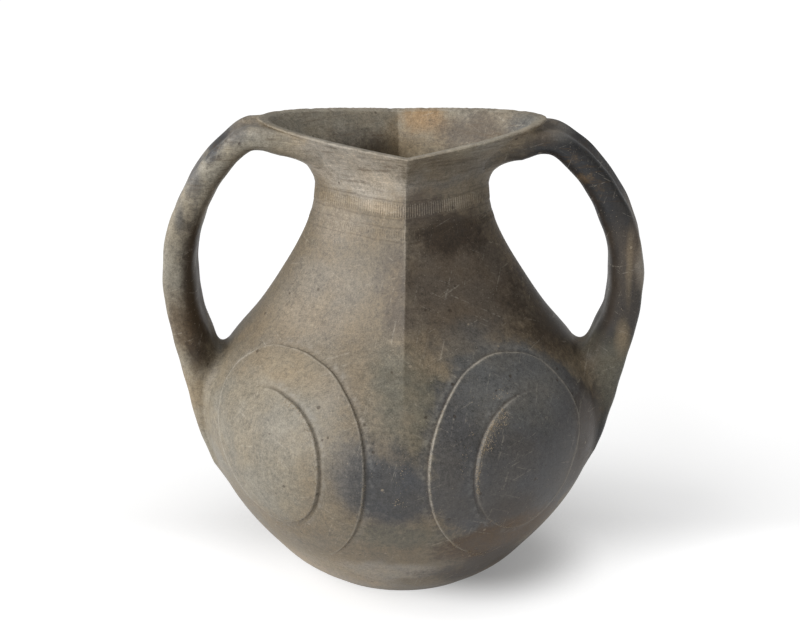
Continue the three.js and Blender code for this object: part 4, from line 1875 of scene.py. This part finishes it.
    def blended(self, points: Numbers, gaps: Numbers) -> tuple[Numbers, Numbers]:
        """Cuts the strap to the wall and turns each end out on to it with a rounded fillet.

        Args:
            points: the strap's points, ring by ring.
            gaps: how far each lies outside the wall.

        Returns:
            The strap's visible rings, from mouth to foot, and each point's nearness to a root.
        """
        rings = np.arange(self.steps + 1)
        columns = range(self.section_points)
        around = np.roll(points, -1, axis=1) - np.roll(points, 1, axis=1)
        normals = np.cross(around, np.gradient(points, axis=0))
        normals /= np.linalg.norm(normals, axis=-1, keepdims=True)
        middle = points.mean(axis=1, keepdims=True)
        if ((points - middle) * normals)[self.steps // 2].sum() < 0:
            normals = -normals
        steps = np.linalg.norm(np.diff(points, axis=0), axis=-1)
        lengths = np.concatenate([np.zeros((1, self.section_points)), np.cumsum(steps, axis=0)])

        def sample(values: Numbers, places: Numbers, keys: Numbers) -> Numbers:
            """Reads each line's three values at places along its keys.

            Args:
                values: each line's values, ring by ring.
                places: where each line is read.
                keys: where along the line each value lies.

            Returns:
                The values read.
            """
            read = [
                np.interp(places[..., column], keys[:, column], values[:, column, axis])
                for column in columns
                for axis in range(3)
            ]
            return np.moveaxis(np.array(read), 0, -1).reshape(*places.shape, 3)

        ring_keys = np.broadcast_to(rings[:, None], lengths.shape)
        t = np.linspace(0, 1, self.blend_rings + 1)[1:, None, None]
        ends, turns = [], []
        for way, size in ((-1, self.root_blend), (1, self.foot_blend)):
            ring, corner = self.landing(points, gaps, way)
            reached = [np.interp(ring[column], rings, lengths[:, column]) for column in columns]
            at = np.array(reached) - way * size
            start = sample(points, at, lengths)
            azimuth, height, _ = self.form.locate(corner)
            wall = self.form.outward(azimuth, height)
            normal = sample(normals, ring, ring_keys)
            slide = normal - (normal * wall).sum(axis=-1, keepdims=True) * wall
            slide /= np.maximum(np.linalg.norm(slide, axis=-1, keepdims=True), 1e-6)
            end = self.form.on_face(corner + slide * size, -self.feather)
            ends.append(at)
            turns.append((1 - t) ** 2 * start + 2 * t * (1 - t) * corner + t**2 * end)
        first, second = ends
        at = first + (second - first) * np.linspace(0, 1, self.rings)[:, None]
        free = sample(points, at, lengths)
        fade = np.clip(np.minimum(at - first, second - at) / self.fade_length, 0, 1)
        near = 0.5 + 0.5 * np.broadcast_to(t[..., 0], (self.blend_rings, self.section_points))
        nearness = np.concatenate([near[::-1], 0.5 * (1 - smooth(0, 1, fade)), near])
        return np.concatenate([turns[0][::-1], free, turns[1]]), nearness

    def build(self, material: bpy.types.Material) -> bpy.types.Object:
        """Builds the strap.

        Args:
            material: the finish of the clay.

        Returns:
            The finished object.
        """
        swept = self.swept()
        _, _, gaps = self.form.locate(swept)
        shown, root = self.blended(swept, gaps)
        buried, middles = [], []
        for ring in (shown[0], shown[-1]):
            middle = ring.mean(axis=0, keepdims=True)
            inward = (mix(middle, ring, share) for share in self.buried)
            buried.append([self.form.on_face(points, -self.sunk) for points in inward])
            middles.append(self.form.on_face(middle, -self.sunk))
        grid = np.stack([*buried[0][::-1], *shown, *buried[1]], axis=1)
        points, faces = closed_tube(grid, (middles[0], middles[1]))
        loop = self.outline()
        corner = bump(loop[:, 0], 0.8, 0.24) * (np.abs(loop[:, 1]) > 0.55)
        # Painted shade along the groove of the outer face and along the inner bevel
        groove = bump(loop[:, 1], 0.0, 0.34) * (loop[:, 0] > 0) + bump(loop[:, 0], -0.72, 0.2)
        hidden = np.ones((len(self.buried), self.section_points))
        near = np.concatenate([hidden, root, hidden])
        wear_and_highlight = self.worn * corner[None, :] * (1 - near)
        groove_shade = 0.55 * groove[None, :] * (1 - near)
        marks = {
            name: np.append(np.clip(values, 0, 1).T, [0, 0])
            for name, values in (("wear_and_highlight", wear_and_highlight), ("groove_shade", groove_shade), ("root", near))
        }
        return dressed(self.node, mesh_from(self.node, points, faces), marks, material, 80.0)


class Studio:
    """The pale floor, the soft light and the camera."""

    @staticmethod
    def floor() -> None:
        """Lays the floor, which shows white and keeps the jar's shadow, with a painted contact shadow near
        the jar and painted light in front and far to the right.
        """
        half = 12.0
        corners = [(-half, -half, 0), (half, -half, 0), (half, half, 0), (-half, half, 0)]
        mesh = bpy.data.meshes.new("floor")
        mesh.from_pydata(corners, [], [(0, 1, 2, 3)])
        sheet = Sheet("white paper")
        path = sheet.node("ShaderNodeLightPath")
        seen = sheet.out(path, "Is Camera Ray")
        for ray in ("Is Glossy Ray", "Is Transmission Ray"):
            seen = sheet.maths("MAXIMUM", seen, sheet.out(path, ray))
        paper = sheet.node("ShaderNodeBsdfDiffuse", {}, {"Color": (0.55, 0.55, 0.55, 1)})
        # Painted contact shadow: the glow dims where the jar crowds the floor
        near = sheet.node("ShaderNodeAmbientOcclusion", {"samples": 8}, {"Distance": 0.16})
        near = sheet.step(sheet.out(near, "AO"), 0.35, 1.0, 0.22, 0.56)
        axes = sheet.node("ShaderNodeSeparateXYZ", {}, {0: sheet.place})
        # Painted light: more glow in front of the jar and far to its right, which thins the cast shadow
        # there
        aside = sheet.length(sheet.vector("SUBTRACT", sheet.place, (0.06, 0.0, 0.0)))
        front = sheet.step(aside, 0.03, 0.09, 0.0, 0.42)
        front = front * sheet.step(sheet.out(axes, "Y"), 0.07, -0.04, 0.2, 1.0)
        past = sheet.step(sheet.out(axes, "X"), 0.2, 0.3, 0.0, 0.05)
        strength = seen * (near + front + past)
        glow = sheet.node("ShaderNodeEmission", {}, {"Color": (1, 1, 1, 1), "Strength": strength})
        both = sheet.node("ShaderNodeAddShader", {}, {0: sheet.out(paper), 1: sheet.out(glow)})
        made = link("floor", mesh, sheet.finish(both))

    @staticmethod
    def light() -> None:
        """Lights the jar with one broad soft lamp and an even white surround."""
        world = bpy.data.worlds.new("white room")
        bpy.context.scene.world = world
        world.use_nodes = True
        board = Board(world.node_tree)
        seen = board.out(board.node("ShaderNodeLightPath"), "Is Camera Ray")
        white = {"Color": (1, 1, 1, 1), "Strength": seen * 0.66 + 0.34}
        background = board.node("ShaderNodeBackground", {}, white)
        board.node("ShaderNodeOutputWorld", {}, {"Surface": board.out(background)})
        lamp = bpy.data.lights.new("key", "SUN")
        lamp.energy = 2.8
        lamp.angle = math.radians(60)
        made = bpy.data.objects.new("key", lamp)
        towards = Vector((-0.87, -0.42, 0.5)).normalized()
        made.rotation_euler = towards.to_track_quat("Z", "Y").to_euler()
        made.location = towards * 2
        bpy.context.scene.collection.objects.link(made)

    @staticmethod
    def camera() -> None:
        """Sets the camera at the photograph's angle."""
        elevation, distance, target = math.radians(21), 1.9, Vector((0, 0, 0.155))
        lens = bpy.data.cameras.new("camera")
        lens.lens = 123.9
        lens.sensor_width = 36
        lens.shift_x = -0.0025
        lens.shift_y = 0.038
        made = bpy.data.objects.new("camera", lens)
        made.location = target + Vector((0, -math.cos(elevation), math.sin(elevation))) * distance
        made.rotation_euler = (math.pi / 2 - elevation, 0, 0)
        bpy.context.scene.collection.objects.link(made)
        bpy.context.scene.camera = made


LEFT_SPIRAL = SpiralPlan(
    Side.LEFT,
    (
        (45, 47.4), (75, 41.1), (105, 38.5), (135, 43.4), (165, 52.3), (195, 54.8), (225, 55.7),
        (255, 53.4), (285, 47.0), (315, 44.1), (345, 46.3), (375, 61.7), (392, 82.5), (405, 82.6),
        (435, 70.6), (465, 67.3), (495, 75.2), (525, 86.9), (555, 89.4), (585, 93.1), (615, 97.5),
    ),
)
RIGHT_SPIRAL = SpiralPlan(
    Side.RIGHT,
    (
        (45, 51.5), (75, 40.3), (105, 37.0), (135, 39.3), (165, 44.8), (195, 48.9), (225, 51.7),
        (255, 55.2), (285, 58.4), (315, 54.9), (345, 50.8), (375, 61.9), (405, 75.8),
        (435, 69.5), (465, 67.8), (495, 74.0), (525, 81.3), (555, 83.6), (585, 85.6), (615, 88.5),
    ),
    inner_wear_and_highlight=0.2,
    crust=0.45,
)
LEFT_DRIFTS = (
    Drift((105, 200), (0.4, -5.0), 260),
    Drift((200, 290), (0.6, -3.0), 150),
    Drift((540, 600), (-0.8, 1.8), 130),
    Drift((480, 540), (-0.6, 1.2), 40),
    Drift((530, 552), (22.0, 36.0), 70),
    Drift((235, 275), (4.0, 22.0), 80),
)
RIGHT_DRIFTS = (
    Drift((112, 165), (0.4, -10.0), 420),
    Drift((135, 204), (0.3, -3.0), 330),
    Drift((150, 185), (8.0, 16.0), 40),
    Drift((95, 120), (4.0, 12.0), 30),
    Drift((230, 275), (1.5, -5.0), 80),
    Drift((495, 590), (-1.2, 1.2), 110),
    Drift((590, 620), (-3.0, 5.0), 90),
)

# The height, the depth and the width of each line scored round the neck
NECK_SCORES = ((276.5, 0.22, 0.45), (264.5, 0.16, 0.4), (258.5, 0.14, 0.4), (250.0, 0.1, 0.4))


def main() -> None:
    """Builds the jar, the light and the camera, and reports each piece."""
    logging.basicConfig(level=logging.INFO, format="%(name)s: %(message)s")
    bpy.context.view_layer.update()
    bpy.context.scene.view_settings.view_transform = "Standard"
    studio = Studio()
    studio.camera()
    studio.light()
    studio.floor()

    form = JarForm()
    spirals = (LEFT_SPIRAL, RIGHT_SPIRAL)
    wall = ClayFinish("burnished grey clay").build(form)
    left, right = (
        ClayFinish(name, own_ground=ground, own_stains=stains).build(form)
        for name, ground, stains in (
            ("left strap clay", Clay.PUTTY, LEFT_STRAP_STAINS),
            ("right strap clay", Clay.BLACK, RIGHT_STRAP_STAINS),
        )
    )
    FootSlab(form).build(wall)
    base, belly, neck, lip = form.base_thickness, form.belly_height, form.neck_joint, form.lip_joint
    rim = form.ridge_top - form.lip_round_drop
    WallRing(form, "lower_belly_wall", base, belly, spirals=spirals).build(wall)
    WallRing(form, "shoulder_wall", belly, neck, spirals=spirals).build(wall)
    WallRing(form, "neck_collar", neck, lip, 0.6, 3, 480, scores=NECK_SCORES).build(wall)
    WallRing(form, "mouth_lip", lip, rim, 0.8, 1.5, 480, rounded_lip=True).build(wall)
    Strap(form, Side.LEFT, "left_handle", 52.5, 0.0, -3.0, 22.0, 2.5).build(left)
    Strap(form, Side.RIGHT, "right_handle", 54.5, 4.0, -1.0, 23.5, 6.0, 0.03).build(right)
    for spiral, node, slot, behind in (
        (LEFT_SPIRAL, "front_left_volute", "tan_grey_clay", False),
        (RIGHT_SPIRAL, "front_right_volute", "dark_grey_clay", False),
        (RIGHT_SPIRAL, "back_left_volute", "dark_grey_clay", True),
        (LEFT_SPIRAL, "back_right_volute", "tan_grey_clay", True),
    ):
        Volute(form, spiral, node, slot, behind).build(wall)
    combed = ClayFinish("combed clay", stains=COMBED_STAINS, lift=1.3).build(form)
    CombedBand(form, "combed_band", 270.5, 9.0, 5).build(combed)
    CombedBand(form, "lower_combed_band", 254.5, 6.0, 6).build(wall)
    grit = CrumbFinish("dry grit").build()
    Crumbs(form, LEFT_SPIRAL, "left_grit", LEFT_DRIFTS, 11).build(grit)
    Crumbs(form, RIGHT_SPIRAL, "right_grit", RIGHT_DRIFTS, 12).build(grit)


if __name__ == "__main__":
    main()
